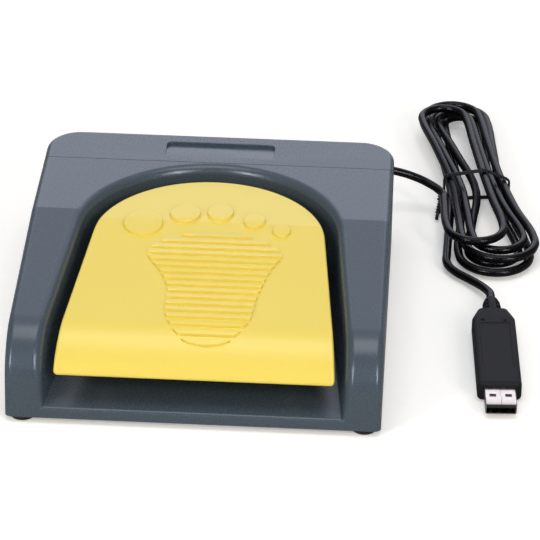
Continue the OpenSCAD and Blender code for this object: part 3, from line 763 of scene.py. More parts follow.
        # Outer side, rear bulkhead and the underside with its room for the base plate
        low_back = (self.half_w, self.seam_y, self.line.low)
        skin.face([s[0] for s in edge] + [(self.half_w, last[0][1], self.line.low), low_back])
        x_in, y_in = self.half_w - self.wall, foot_front[0] + self.wall
        skin.face(list(edge[0]) + [seam_top, (0, self.seam_y, self.plate_top),
                                   (x_in, self.seam_y, self.plate_top),
                                   (x_in, self.seam_y, self.line.low), low_back])
        ring = [(x_in, self.seam_y), (x_in, y_in), (0, y_in)]
        skin.face([low_back, (self.half_w, last[0][1], self.line.low)] + list(last)
                  + [(0, *foot_front)] + level(ring[::-1], self.line.low))
        skin.grid([level(ring, self.line.low), level(ring, self.plate_top)])
        skin.face(level(ring, self.plate_top) + [(0, self.seam_y, self.plate_top)])
        # Well wall, the concave foot of the wall, and the tray floor
        arch = part["deck"] + part["slope"][1:self.slope_steps + 1]
        foot = [self.floor_section(math.atan2(s[0][1], s[0][0])) for s in arch]
        skin.grid([[s[0] for s in arch], [f[0] for f in foot]])
        front_foot = [part["front"][-1][0]] + [s[0] for s in part["corner"]]
        skin.grid(foot + [front_foot])
        side = [s[0] for s in part["slope"][self.slope_steps:] + part["nose"][1:] + part["front"]]
        skin.face(side + [foot[-1][0]])
        skin.face([f[-1] for f in foot] + [front_foot[-1]] + [s[0] for s in part["lip"]])
        skin.mirror()
        self.add_tray_posts(skin)
        return skin.piece("housing_frame", GREY_ABS, ridge_y=self.line.crease_y)

    def floor_section(self, a: float) -> list[np.ndarray]:
        """Round the hollow between the arch's wall and the floor at one place.

        Args:
            a: Angle from the right-hand side.

        Returns:
            The hollow section there, from the wall down.
        """
        low = self.floor_z + self.floor_r
        r = self.radius(low)
        c, s = math.cos(a), math.sin(a)
        reach = [r - self.floor_r * (1 - math.cos(b)) for b in arc(6)]
        return [np.array((q * c, q * s, low - self.floor_r * math.sin(b))) for q, b in zip(reach, arc(6))]

    def add_tray_posts(self, skin: Skin) -> None:
        """Add the hinge lugs, the switch's bracket and the spring's seat.

        Args:
            skin: Mesh that gets them.
        """
        base = self.floor_z - self.root
        lug = bow(*self.hinge, self.lug_r, arc(12, 0, 180))
        lug += [(lug[-1][0], base), (lug[0][0], base)]
        for x in (-self.lug_x, self.lug_x):
            skin.slab(lug, x - self.lug_t / 2, x + self.lug_t / 2, self.post_soft)
        (y0, y1), top = self.bracket_y, self.bracket_top
        skin.slab([(y0, base), (y1, base), (y1, top), (y0, top)], *self.bracket_x, self.post_soft)
        skin.lathe([(self.seat[0][0], base), *self.seat], (0, self.seat_y, 0))

    def build_cover(self) -> bpy.types.Object:
        """Build the rear cover with its finger recess.

        Returns:
            The cover's object.
        """
        skin = Skin()
        y0, c_y = self.seam_y + self.seam, self.back_y - self.corner_r
        path = [((self.half_w, y0), (1, 0)), ((self.half_w, c_y), (1, 0))]
        c_x = self.half_w - self.corner_r
        path += zip(bow(c_x, c_y, self.corner_r, arc(12)[1:]), bow(0, 0, 1, arc(12)[1:]))
        path.append(((0, self.back_y), (0, 1)))
        deck, low = self.line.deck_h, self.line.low
        top = [fillet((*p, deck), (-n[0], -n[1], 0), (0, 0, -1), self.edge_r) for p, n in path]
        skin.grid(top)
        outer = level([p for p, _ in path], low)
        skin.grid([[s[0] for s in top], outer])
        shrink = (self.corner_r - self.wall) / self.corner_r
        inner = [(c_x + (p[0] - c_x) * shrink if p[0] > c_x else p[0],
                  c_y + (p[1] - c_y) * shrink if p[1] > c_y else p[1]) for p, _ in path]
        skin.grid([outer, level(inner, low)])
        skin.grid([level(inner, low), level(inner, self.plate_top)])
        skin.face(level(inner, self.plate_top) + [(0, y0, self.plate_top)])
        skin.face(list(top[0]) + [(0, y0, deck), (0, y0, self.plate_top), (*inner[0], self.plate_top),
                                  (*inner[0], low), (self.half_w, y0, low)])
        ring = self.recess_ring()
        rows = []
        for f in arc(4):
            rows.append([p + n * r * (1 - math.sin(f)) - (0, 0, r * (1 - math.cos(f)))
                         for p, n, r, _ in ring])
        rows.append([p - (0, 0, d) - n * self.recess_lean * d for p, n, _, d in ring])
        skin.grid(rows)
        front = np.array((0, self.recess_y[0], deck))
        skin.face(rows[-1] + [front])
        skin.face([s[-1] for s in top] + list(reversed(rows[0])) + [front, np.array((0, y0, deck))])
        skin.mirror()
        return skin.piece("housing_cover", GREY_ABS)

    def recess_ring(self) -> list[tuple]:
        """Work out the right half of the recess's outline, from its open front to its back's middle.

        Returns:
            Point on the deck, outward direction, rounding and depth, one for each place.
        """
        x, (y0, y1), r = self.recess_w / 2, self.recess_y, self.recess_r
        flat = [((x, y0 + (y1 - r - y0) * f), (1, 0)) for f in [0.0] + shares(8)]
        flat += zip(bow(x - r, y1 - r, r, arc(6)[1:]), bow(0, 0, 1, arc(6)[1:]))
        flat.append(((0, y1), (0, 1)))
        ring = []
        for (px, py), n in flat:
            depth = self.recess_t * (py - y0) / (y1 - y0)
            p = np.array((px, py, self.line.deck_h))
            ring.append((p, np.array((*n, 0.0)), self.recess_soft * min(1.0, depth), depth))
        return ring

    def dress(self) -> None:
        """Build both mouldings and tie them to the frame."""
        dress(self.build_frame(), "housing", "grey_moulding", ("main_frame",))
        dress(self.build_cover(), "housing", "grey_moulding", ("rear_cover",))


@dataclass
class Pedal:
    """The yellow pedal with its raised footprint. Millimetres."""

    line: SideProfile = field(default_factory=lambda: SideProfile(nose_r=30.0, toe_y=-80.774))
    drop: float = 3.7
    radius: float = 45.8
    taper: float = 5.5
    thick: float = 2.4
    skirt: float = 6.0
    low: float = 18.0
    corner_r: float = 1.6
    edge_r: float = 0.9
    skirt_soft: float = 0.3
    # Toes: middle across and along, half width, half length
    toes: tuple = ((-26.4, 9.6, 8.0, 8.6), (-10.4, 17.7, 6.35, 7.2), (3.45, 19.4, 5.45, 6.7),
                   (17.3, 14.1, 4.6, 5.7), (28.3, 7.6, 3.7, 4.5))
    toe_rise: float = 1.2
    toe_crown: float = 0.06
    # Rings of a toe from its root up: inset, share of the rise, and what is added to that
    toe_rings: tuple = ((-0.1, 0.0, -0.3), (0.38, 0.8, 0.0), (0.46, 0.91, 0.0), (0.6, 0.98, 0.0),
                        (0.8, 1.0, 0.0), (1.5, 1.0, 0.03), (2.4, 1.0, 0.05))
    # Ribs: height, step, width at foot and top, front of the first, depth of the root, rounding of the rims
    relief: float = 1.05
    rib_step: float = 4.07
    rib_w: float = 2.7
    rib_top: float = 2.15
    rib_front: float = 1.68
    sunk: float = 0.4
    rib_soft: float = 0.2
    rib_cuts: int = 9
    # Ribs at an even step, and then the fronts of the last ones, which lie on the rolled front
    even_ribs: int = 14
    last_ribs: tuple = (-55.8, -60.4, -64.5)
    # Outline of the sole from its rear: place along, left end, right end
    sole: tuple = ((4.9, 1.5, 4.5), (4.5, -3.5, 9.5), (3.8, -6.6, 12.9), (2.9, -8.6, 15.2),
                   (1.68, -9.9, 16.8), (0.3, -15.6, 21.2), (-1, -16.8, 22.8), (-2.4, -17.6, 24),
                   (-4, -20.4, 26.8), (-6.4, -21.6, 28.3), (-8, -22.5, 29.2), (-10.5, -22.9, 29.5),
                   (-12.4, -22.6, 28.6), (-14.8, -21.4, 27.6), (-18.6, -19, 25.8), (-22.7, -16.6, 24.7),
                   (-26.7, -14.9, 23.7), (-30.8, -13.7, 22.7), (-34.8, -13, 21.8), (-38.8, -12.9, 21.2),
                   (-43, -13.1, 20.8), (-47, -13, 20.3), (-51.3, -12.1, 19.8), (-55.7, -10.4, 18),
                   (-60.2, -7.2, 14.8), (-62, -5.2, 12.6), (-63.2, -3.2, 10.6), (-64.1, -0.4, 8),
                   (-64.5, 2.6, 5))
    # Mounts under the shell: hinge bosses, stop posts, the switch's actuator and the spring's spigot
    hinge: Pair = (28.0, 27.0)
    boss_x: float = 20.5
    boss_r: float = 4.6
    boss_t: float = 9.0
    boss_top: tuple = ((31.6, 36.4), (24.4, 36.4))
    boss_soft: float = 0.4
    stop_at: Pair = (36.0, -48.0)
    stop: tuple = ((2.5, 14.85), (3.0, 15.3), (3.0, 30.0))
    actuator_x: Pair = (19.0, 27.0)
    actuator: tuple = ((-3, 28.75), (-1, 28.75), (-1, 34.5), (-3, 34.5))
    actuator_soft: float = 0.25
    spigot_y: float = -18.0
    spigot: tuple = ((4.5, 26.9), (4.9, 27.3), (4.9, 33.0))

    def side_x(self, y: float, inset: float = 0.0) -> float:
        """Return how far out the pedal's straight side lies."""
        t = math.radians(self.taper)
        return (self.radius - inset - y * math.sin(t)) / math.cos(t)

    def outline(self, d: float, inset: float) -> dict[str, list]:
        """Work out the right half of the outline on the surface lowered by d.

        Args:
            d: Depth below the housing's line.
            inset: How far inside the pedal's own outline.

        Returns:
            Tuples of edge point, inward direction and direction into the pedal, by stretch.
        """
        r, t = self.radius - inset, math.radians(self.taper)
        part: dict[str, list] = {k: [] for k in ("deck", "slope", "nose", "low")}
        crease_y = self.line.crease(d)[0]
        crease_a = math.degrees(math.asin(crease_y / r))
        down, fall = np.array((0, 0, -1.0)), np.array((0, *-self.line.deck_n))
        across = np.array((-1.0, 0, 0))
        for a in arc(40, 90, crease_a):
            p = (r * math.cos(a), r * math.sin(a), self.line.deck_h - d)
            part["deck"].append((np.array(p), np.array((-math.cos(a), -math.sin(a), 0)), down))
        rise = math.tan(math.radians(self.line.slope))
        for a in arc(4, crease_a, self.taper):
            y = r * math.sin(a)
            inward = unit((-math.cos(a), -math.sin(a), -math.sin(a) * rise))
            part["slope"].append((np.array((r * math.cos(a), y, self.line.top_z(y, d))), inward, fall))
        corner = self.corner_r
        nose = self.line.nose(d, self.line.nose_turn(d, self.low + corner))
        y0 = r * math.sin(t)
        for f in shares(8):
            y = y0 + (nose[0][0][0] - y0) * f
            part["slope"].append((np.array((self.side_x(y, inset), y, self.line.top_z(y, d))), across, fall))
        for p, n in nose:
            part["nose"].append((np.array((self.side_x(p[0], inset), *p)), across, np.array((0, *-n))))
        # Rounded lower corner, then the lower edge to the middle
        cx = part["nose"][-1][0][0] - corner
        for b in arc(6)[1:]:
            n = self.line.normal(self.line.nose_turn(d, self.low + corner * (1 - math.sin(b))))
            p = self.line.nose_c + (self.line.nose_r - d) * n
            inward = np.array((-math.cos(b), n[1] * math.sin(b), -n[0] * math.sin(b)))
            part["low"].append((np.array((cx + corner * math.cos(b), *p)), inward, np.array((0, *-n))))
        edge, inward, into = part["low"][-1]
        part["low"].append((np.array((0, edge[1], edge[2])), inward, into))
        return part

    def close(self, skin: Skin, part: dict[str, list]) -> None:
        """Fill the surface inside an outline: two flats and the rolled front.

        Args:
            skin: Mesh that gets the faces.
            part: Points of the outline by stretch.
        """
        crease, nose = part["deck"][-1], part["nose"]
        mid, *mids = [np.array((0, p[1], p[2])) for p in [crease] + nose]
        skin.face(part["deck"] + [mid])
        skin.face([crease] + part["slope"][1:] + [mids[0], mid])
        for k in range(len(nose) - 1):
            skin.grid([[mids[k], nose[k]], [mids[k + 1], nose[k + 1]]])
        skin.face([nose[-1]] + part["low"] + [mids[-1]])

    def build_shell(self) -> bpy.types.Object:
        """Build the pedal's shell with its skirt, and what stands under it.

        Returns:
            The shell's object.
        """
        skin = Skin()
        edge = self.outline(self.drop, 0.0)
        rounds = {k: [fillet(p, i, d, self.edge_r, 4) for p, i, d in v] for k, v in edge.items()}
        self.close(skin, {k: [s[-1] for s in v] for k, v in rounds.items()})
        flat_edge = sum(edge.values(), [])
        flat_round = sum(rounds.values(), [])
        skin.grid(flat_round)
        under = self.outline(self.drop + self.thick, self.thick)
        inner = sum(under.values(), [])
        rows = []
        n_low = len(edge["low"])
        for k, ((p, i, d), s) in enumerate(zip(flat_edge, flat_round)):
            if k >= len(flat_edge) - n_low:
                rows.append([s[0] + (inner[k][0] - s[0]) * f for f in [0.0] + shares(5)])
                continue
            foot, soft = p + d * self.skirt, self.skirt_soft
            rows.append([s[0], foot - d * soft, foot + i * soft, foot + i * (self.thick - soft),
                         p + i * self.thick + d * (self.skirt - soft), inner[k][0]])
        skin.grid(rows)
        self.close(skin, {k: [p for p, _, _ in v] for k, v in under.items()})
        skin.mirror()
        self.add_mounts(skin)
        for toe in self.toes:
            self.add_toe(skin, *toe)
        return skin.piece("pedal_shell", YELLOW_ABS, ridge_y=self.line.crease(self.drop)[0])

    def add_mounts(self, skin: Skin) -> None:
        """Add the hinge bosses, the stop posts, the actuator and the spring's spigot.

        Args:
            skin: Mesh that gets them.
        """
        boss = bow(*self.hinge, self.boss_r, arc(14, 180, 360)) + list(self.boss_top)
        for s in (-1, 1):
            x = s * self.boss_x
            skin.slab(boss, x - self.boss_t / 2, x + self.boss_t / 2, self.boss_soft)
            skin.lathe(self.stop, (s * self.stop_at[0], self.stop_at[1], 0), steps=24)
        skin.slab(self.actuator, *self.actuator_x, self.actuator_soft)
        skin.lathe(self.spigot, (0, self.spigot_y, 0), steps=24)

    def add_toe(self, skin: Skin, x: float, y: float, rx: float, ry: float) -> None:
        """Add one flat-topped toe that follows the pedal's surface.

        Args:
            skin: Mesh that gets the toe.
            x: Middle, across.
            y: Middle, along.
            rx: Half width.
            ry: Half length.
        """
        rows = []
        for inset, share, more in self.toe_rings:
            h, ring = share * self.toe_rise + more, []
            for a in circle(56):
                p, n = self.line.height(y + (ry - inset) * math.sin(a), self.drop)
                ring.append((x + (rx - inset) * math.cos(a), *(p + n * h)))
            rows.append(ring)
        skin.grid(rows, closed=True)
        top = (x, y, self.line.height(y, self.drop)[0][1] + self.toe_rise + self.toe_crown)
        for a, b in zip(rows[-1], rows[-1][1:] + rows[-1][:1]):
            skin.face([a, b, top])
        skin.face(rows[0])

    def rib_tree(self) -> bpy.types.NodeTree:
        """Make the tree that raises the sole's flat outlines into ribs.

        Returns:
            The tree.
        """
        tree, given = new_tree("sole_ribs", "Rib height", "Crown")
        get = given.outputs
        raised = add(tree, "GeometryNodeExtrudeMesh", {"Mesh": get["Geometry"], "Individual": True,
                                                       "Offset Scale": get["Rib height"]}, mode="FACES")
        along = add(tree, "ShaderNodeVectorMath", {0: add(tree, "GeometryNodeInputNormal"),
                                                   1: (1.0, 0.0, 0.0)}, operation="CROSS_PRODUCT")
        drawn = add(tree, "GeometryNodeScaleElements", {"Geometry": raised, "Axis": along,
                                                        "Selection": raised.outputs["Top"],
                                                        "Scale": get["Crown"]},
                    domain="FACE", scale_mode="SINGLE_AXIS")
        turned = add(tree, "GeometryNodeFlipFaces", {"Mesh": get["Geometry"]})
        whole = add(tree, "GeometryNodeJoinGeometry", {0: [drawn, turned]})
        closed = add(tree, "GeometryNodeMergeByDistance", {"Geometry": whole, "Distance": 0.01 * MM})
        end_tree(tree, closed, get["Finish"])
        return tree

    def rib_plan(self, k: int) -> list[Pair]:
        """Work out a rib in plan.

        Args:
            k: Number of the rib, from the rear.

        Returns:
            Its outline at the root, counter-clockwise.
        """
        fronts = [self.rib_front - self.rib_step * i for i in range(self.even_ribs)] + list(self.last_ribs)
        high = fronts[k] + self.rib_w
        if k == 0:
            high = self.sole[0][0]
        if k == len(fronts) - 1:
            high = fronts[k - 1] - (self.rib_step - self.rib_w)
        spread = (self.rib_w - self.rib_top) / 2 * self.sunk / self.relief
        low, high = fronts[k] - spread, high + spread
        ys, lefts, rights = (list(column) for column in zip(*reversed(self.sole)))
        steps = np.linspace(low, high, self.rib_cuts)
        right = [(float(np.interp(y, ys, rights)), float(y)) for y in steps]
        left = [(float(np.interp(y, ys, lefts)), float(y)) for y in steps[::-1]]
        return right + left

    def build_ribs(self) -> bpy.types.Object:
        """Grow the ribs of the sole.

        Returns:
            The ribs' object.
        """
        points, faces = [], []
        for k in range(self.even_ribs + len(self.last_ribs)):
            plan = self.rib_plan(k)
            mid = (plan[0][1] + plan[self.rib_cuts][1]) / 2
            p, n = self.line.height(mid, self.drop)
            n = self.line.normal(math.degrees(math.atan2(-n[0], n[1])) - self.line.slope)
            start = len(points)
            for x, y in plan:
                along = (y - mid) / n[1]
                at = p - n * self.sunk + np.array((n[1], -n[0])) * along
                points.append((x * MM, at[0] * MM, at[1] * MM))
            faces.append(list(range(start, len(points))))
        seed = bpy.data.meshes.new("sole_plan")
        seed.from_pydata(points, [], faces)
        foot = self.rib_w + (self.rib_w - self.rib_top) * self.sunk / self.relief
        made = grown(self.rib_tree(), "pedal_ribs", {
            "Rib height": (self.relief + self.sunk) * MM, "Crown": self.rib_top / foot}, YELLOW_ABS, seed)
        soft = made.modifiers.new("soft_rims", "BEVEL")
        soft.width, soft.segments = self.rib_soft * MM, 2
        soft.limit_method, soft.angle_limit = "ANGLE", math.radians(35)
        made = baked(made)
        made.data.shade_smooth()
        made.data.set_sharp_from_angle(angle=math.radians(40))
        return made

    def dress(self) -> None:
        """Build the pedal and tie it to its body."""
        dress(self.build_shell(), "pedal", "yellow_moulding", ("pedal",))
        dress(self.build_ribs(), "pedal", "yellow_moulding")


@dataclass
class Underside:
    """Feet and screws below the housing. Millimetres."""

    foot_r: float = 4.8
    foot_h: float = 2.2
    # Rounded edge of a foot from the floor up: inset and height
    foot_edge: tuple = ((1.1, 0.0), (0.6, 0.06), (0.2, 0.3), (0.0, 0.75))
    feet: tuple = ((64.6, -73.7), (-64.6, -73.7), (51, 70), (-51, 70))
    screws: tuple = ((64, -58), (-64, -58), (64, -8), (-64, -8), (62, 40), (-62, 40), (63, 62), (-63, 62))
    head_z: float = 2.4
    head_r: float = 2.6
    head_h: float = 1.1
    recess_w: float = 0.6
    shank_r: float = 1.25
    shank_l: float = 9.0

    def screw_tree(self) -> bpy.types.NodeTree:
        """Make the tree that sets a cross-recessed screw on every point.

        Returns:
            The tree.
        """
        tree, given = new_tree("base_screw_row", "Head radius", "Head height", "Recess width",
                               "Shank radius", "Shank length")
        get = given.outputs
        cut = add(tree, "GeometryNodeMeshCylinder", {"Vertices": 32, "Radius": get["Head radius"],
                                                     "Depth": get["Head height"]})
        size = add(tree, "ShaderNodeCombineXYZ", {"X": get["Head radius"], "Y": get["Recess width"],
                                                  "Z": get["Head height"]})
        bar = add(tree, "GeometryNodeMeshCube", {"Size": size})
        # The two bars of the cross end at depths of their own, so that their floors stay apart
        for turn, sink in ((0.0, -0.55), (math.pi / 2, -0.5)):
            drop = add(tree, "ShaderNodeMath", {0: get["Head height"], 1: sink}, operation="MULTIPLY")
            at = add(tree, "ShaderNodeCombineXYZ", {"Z": drop})
            tool = add(tree, "GeometryNodeTransform", {"Geometry": bar, "Translation": at,
                                                       "Rotation": (0.0, 0.0, turn)})
            cut = add(tree, "GeometryNodeMeshBoolean", {"Mesh 1": cut, "Mesh 2": tool},
                      operation="DIFFERENCE")
        shank = add(tree, "GeometryNodeMeshCylinder", {"Vertices": 16, "Radius": get["Shank radius"],
                                                       "Depth": get["Shank length"]})
        half = add(tree, "ShaderNodeMath", {0: get["Shank length"], 1: 0.5}, operation="MULTIPLY")
        at = add(tree, "ShaderNodeCombineXYZ", {"Z": half})
        up = add(tree, "GeometryNodeTransform", {"Geometry": shank, "Translation": at})
        screw = add(tree, "GeometryNodeJoinGeometry", {0: [cut, up]})
        row = add(tree, "GeometryNodeInstanceOnPoints", {"Points": get["Geometry"], "Instance": screw})
        end_tree(tree, row, get["Finish"])
        return tree

    def dress(self) -> None:
        """Build the feet and screws and tie them to the housing."""
        skin = Skin()
        profile = [(self.foot_r - inset, z) for inset, z in self.foot_edge] + [(self.foot_r, self.foot_h)]
        for x, y in self.feet:
            skin.lathe(profile, (x, y, 0), steps=40)
        dress(skin.piece("foot_pads", RUBBER), "housing", "black_rubber", ("rubber_feet",))
        seed = bpy.data.meshes.new("screw_places")
        middle = self.head_z + self.head_h / 2
        seed.from_pydata([(x * MM, y * MM, middle * MM) for x, y in self.screws], [], [])
        made = grown(self.screw_tree(), "housing_screws", {
            "Head radius": self.head_r * MM, "Head height": self.head_h * MM,
            "Recess width": self.recess_w * MM, "Shank radius": self.shank_r * MM,
            "Shank length": self.shank_l * MM}, ZINC, seed)
        dress(made, "housing", "steel", ("base_screws", "cover_screws"))


@dataclass
class Spring:
    """Return spring under the pedal. Millimetres."""

    y: float = -18.0
    radius: float = 6.5
    wire: float = 0.7
    turns: int = 7
    facets: int = 24
    low: float = 7.25

    def dress(self) -> None:
        """Wind the spring and tie it to the housing's body."""
        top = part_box("return_spring")[1].z / MM - self.wire
        count = self.turns * self.facets
        rows = []
        for k in range(count + 1):
            a = math.tau * k / self.facets
            out, up = np.array((math.cos(a), math.sin(a), 0)), np.array((0, 0, 1.0))
            p = self.radius * out + (0, self.y, self.low + (top - self.low) * k / count)
            rows.append([p + self.wire * (math.cos(b) * out + math.sin(b) * up) for b in circle(10)])
        skin = Skin()
        skin.loft(rows)
        made = baked(skin.piece("return_coil", ZINC))
        dress(made, "housing", "steel", ("return_spring",))
        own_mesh(made)


@dataclass
class Plug:
    """The plug: long black moulding with a flexible neck, and a steel shell. Millimetres, on its own axis."""

    tip: Pair = (116.0, -62.7)
    turn: float = 2.9
    z: float = 4.3
    # The moulding, its corners and the rounding of its front
    width: float = 17.0
    height: float = 8.4
    length: float = 56.0
    corner_r: float = 2.0
    front_r: float = 1.6
    # Straight shoulders that end in a flat, rounded step: distance from the back, loss of width and height
    shoulders: tuple = ((7.5, 0, 0), (7.0, 0.15, 0), (6.5, 0.5, 0), (0.7, 4.7, 0.2), (0.3, 5.2, 0.6),
                        (0.08, 6.0, 1.2), (0, 6.8, 1.9))
    # Sunk panel on top: half width, depth, run of its edges and of its ends, distance from front and back
    panel_w: float = 6.1
    panel_t: float = 0.28
    panel_run: float = 0.25
    panel_ramp: float = 0.3
    panel_y: Pair = (11.6, 11.2)
    # Ejector marks: radius, depth, place across and distance from the back
    mark_r: float = 0.85
    mark_t: float = 1.8
    mark_x: float = 4.3
    mark_y: float = 9.8
    # The shell: length outside and inside the moulding, size, corners, sheet, how far its tip is drawn in
    shell_out: float = 12.0
    shell_in: float = 6.0
    shell_w: float = 12.0
    shell_h: float = 4.5
    shell_r: float = 0.55
    shell_t: float = 0.3
    shell_pull: float = 0.12
    # Latch windows across and along, the seam's gap, and its dovetail: distance from the tip and place across
    window_x: Pair = (1.75, 4.25)
    window_y: Pair = (5.2, 7.2)
    seam_w: float = 0.14
    dovetail: tuple = ((0.0, 0.1), (0.35, 0.1), (3.6, 0.1), (4.1, 0.8), (5.2, 0.35), (6.2, -0.1), (7.2, -0.5),
                       (7.7, 0.1))
    seam_x: float = 0.1
    # The neck: radius at both ends, length, its beads, their core's depth and the half angle of their web
    neck_r: float = 4.1
    neck_end: float = 2.45
    neck_l: float = 11.5
    beads: int = 3
    bead_l: float = 1.35
    bead_step: float = 2.6
    bead_taper: float = 0.95
    bead_soft: float = 0.3
    core: float = 1.1
    web: int = 20
    # Powers that shape the neck's dome along and across
    dome: Pair = (2.2, 0.7)

    def neck(self, y: float) -> float:
        """Return the radius of the domed neck at a distance behind the moulding."""
        fall = max(0.0, y / self.neck_l) ** self.dome[0]
        return self.neck_end + (self.neck_r - self.neck_end) * (1 - fall) ** self.dome[1]

    def place(self, x: float, y: float, z: float) -> Point:
        """Turn a point of the plug's own axes into the part's frame."""
        c, s = math.cos(math.radians(self.turn)), math.sin(math.radians(self.turn))
        return (self.tip[0] + x * c - y * s, self.tip[1] + x * s + y * c, z)

    def section(self, y: float, w: float, h: float, r: float, panel: float) -> list[Point]:
        """Work out one ring of the moulding.

        Args:
            y: Distance from the plug's tip.
            w: Width of the ring.
            h: Height of the ring.
            r: Radius of its corners.
            panel: How far the panel on top is sunk there.

        Returns:
            Points of the ring, all rings alike in number.
        """
        half_w, half_h = w / 2, h / 2
        first, *others = corners(half_w, half_h, r, 7)
        # The panel narrows with the ring and keeps clear of its rounded corners
        edge = min(self.panel_w * w / self.width, half_w - r - 0.1)
        flat = edge - self.panel_run
        ring = first + [(edge, half_h), (flat, half_h - panel), (-flat, half_h - panel), (-edge, half_h)]
        return [self.place(x, y, self.z + z) for x, z in ring + sum(others, [])]

    def build_body(self) -> bpy.types.Object:
        """Loft the moulding.

        Returns:
            The moulding's object.
        """
        front, back = self.shell_out, self.shell_out + self.length
        w, h, r = self.width, self.height, self.corner_r
        stations = []
        # The corners tighten with the rounding of the front, but less
        for a in arc(6):
            cut, y = self.front_r * (1 - math.sin(a)), front + self.front_r * (1 - math.cos(a))
            stations.append((y, w - 2 * cut, h - 2 * cut, r - cut * 0.6, 0.0))
        near, far = front + self.panel_y[0], back - self.panel_y[1]
        stations += [(near, w, h, r, 0.0), (near + self.panel_ramp, w, h, r, self.panel_t),
                     (far - self.panel_ramp, w, h, r, self.panel_t), (far, w, h, r, 0.0)]
        stations += [(back - y, w - narrow, h - low, r, 0.0) for y, narrow, low in self.shoulders]
        skin = Skin()
        skin.loft([self.section(*station) for station in stations])
        made = skin.piece("plug_moulding", BLACK_PVC)
        pins = Skin()
        for side in (-1, 1):
            at = self.place(self.mark_x * side, back - self.mark_y, self.z + h / 2)
            pins.lathe([(self.mark_r, -self.mark_t), (self.mark_r, 1.0)], at, steps=20)
        cutter = pins.piece("ejector_pins", BLACK_PVC)
        cut = made.modifiers.new("ejector_marks", "BOOLEAN")
        cut.operation, cut.object, cut.solver = "DIFFERENCE", cutter, "EXACT"
        made.modifiers.move(1, 0)
        made = baked(made)
        bpy.data.objects.remove(cutter)
        return made

    def build_spine(self) -> bpy.types.Object:
        """Build the neck's core, the web that joins its beads above and below, and its smooth end.

        Returns:
            The spine's object.
        """
        back = self.shell_out + self.length
        start = self.beads * self.bead_step
        skin = Skin()
        web = [math.radians(a) for half in (90, 270) for a in range(half - self.web, half + self.web + 1, 8)]
        whole = circle(32)
        # Web and core start inside the moulding, and the smooth end closes in a rounded rim on the cord
        root, soft, bend = 0.5, 0.15, self.neck_l - 0.6
        along = [-root] + [start * f for f in shares(5)]
        parts = [(web, [(self.neck(y), y) for y in along]),
                 (whole, [(self.neck(y) - self.core, y) for y in along]),
                 (whole, [(self.neck(start) - soft, start), (self.neck(start), start + soft),
                          (self.neck(bend), bend), (self.neck_end - soft, self.neck_l - 0.2),
                          (self.neck_end - 0.5, self.neck_l)])]
        for angles, profile in parts:
            skin.loft([[self.place(x, back + y, z) for x, z in bow(0, self.z, r, angles)]
                       for r, y in profile])
        return skin.piece("plug_spine", BLACK_PVC)

    def neck_tree(self) -> bpy.types.NodeTree:
        """Make the tree that strings the neck's beads on its axis.

        Returns:
            The tree.
        """
        tree, given = new_tree("neck_beads", "Bead radius", "Bead taper", "Bead length", "Turn")
        get = given.outputs
        tail = add(tree, "ShaderNodeMath", {0: get["Bead radius"], 1: get["Bead taper"]},
                   operation="MULTIPLY")
        bead = add(tree, "GeometryNodeMeshCone", {"Vertices": 36, "Radius Top": get["Bead radius"],
                                                  "Radius Bottom": tail, "Depth": get["Bead length"]})
        half = add(tree, "ShaderNodeMath", {0: get["Bead length"], 1: -0.5}, operation="MULTIPLY")
        at = add(tree, "ShaderNodeCombineXYZ", {"Z": half})
        middle = add(tree, "GeometryNodeTransform", {"Geometry": bead, "Translation": at})
        aim = add(tree, "ShaderNodeCombineXYZ", {"X": math.pi / 2, "Z": get["Turn"]})
        small = add(tree, "GeometryNodeInputNamedAttribute", {"Name": "thin"}, data_type="FLOAT")
        row = add(tree, "GeometryNodeInstanceOnPoints", {"Points": get["Geometry"], "Instance": middle,
                                                         "Rotation": aim, "Scale": small})
        end_tree(tree, row, get["Finish"])
        return tree

    def build_neck(self) -> bpy.types.Object:
        """Grow the beads of the flexible neck.

        Returns:
            The neck's object.
        """
        back = self.shell_out + self.length
        along = [self.bead_l / 2 + self.bead_step * k for k in range(self.beads)]
        places = [self.place(0, back + y, self.z) for y in along]
        seed = bpy.data.meshes.new("neck_places")
        seed.from_pydata([tuple(v * MM for v in p) for p in places], [], [])
        thin = seed.attributes.new("thin", "FLOAT", "POINT")
        thin.data.foreach_set("value", [self.neck(y) / self.neck_r for y in along])
        made = grown(self.neck_tree(), "plug_neck", {
            "Bead radius": self.neck_r * MM, "Bead taper": self.bead_taper, "Bead length": self.bead_l * MM,
            "Turn": math.radians(self.turn)}, BLACK_PVC, seed)
        soft = made.modifiers.new("soft_rims", "BEVEL")
        soft.width, soft.segments = self.bead_soft * MM, 3
        made = baked(made)
        made.data.shade_smooth()
        return made

    def shell_ring(self, seam_x: float, pull: float) -> list[Pair]:
        """Work out one ring of the shell.

        Args:
            seam_x: Place of the seam across the top.
            pull: How far the ring is drawn in.

        Returns:
            Points of the ring, all rings alike in number.
        """
        w, h = self.shell_w / 2, self.shell_h / 2
        (near, far), gap = self.window_x, self.seam_w / 2
        cuts = [far, near, seam_x + gap, seam_x - gap, -near, -far]
        a, b, c, d = corners(w, h, self.shell_r, 4)
        ring = a + [(x, h) for x in cuts] + b + c + [(x, -h) for x in reversed(cuts)] + d
        return [(x * (1 - pull / w), z * (1 - pull / h)) for x, z in ring]

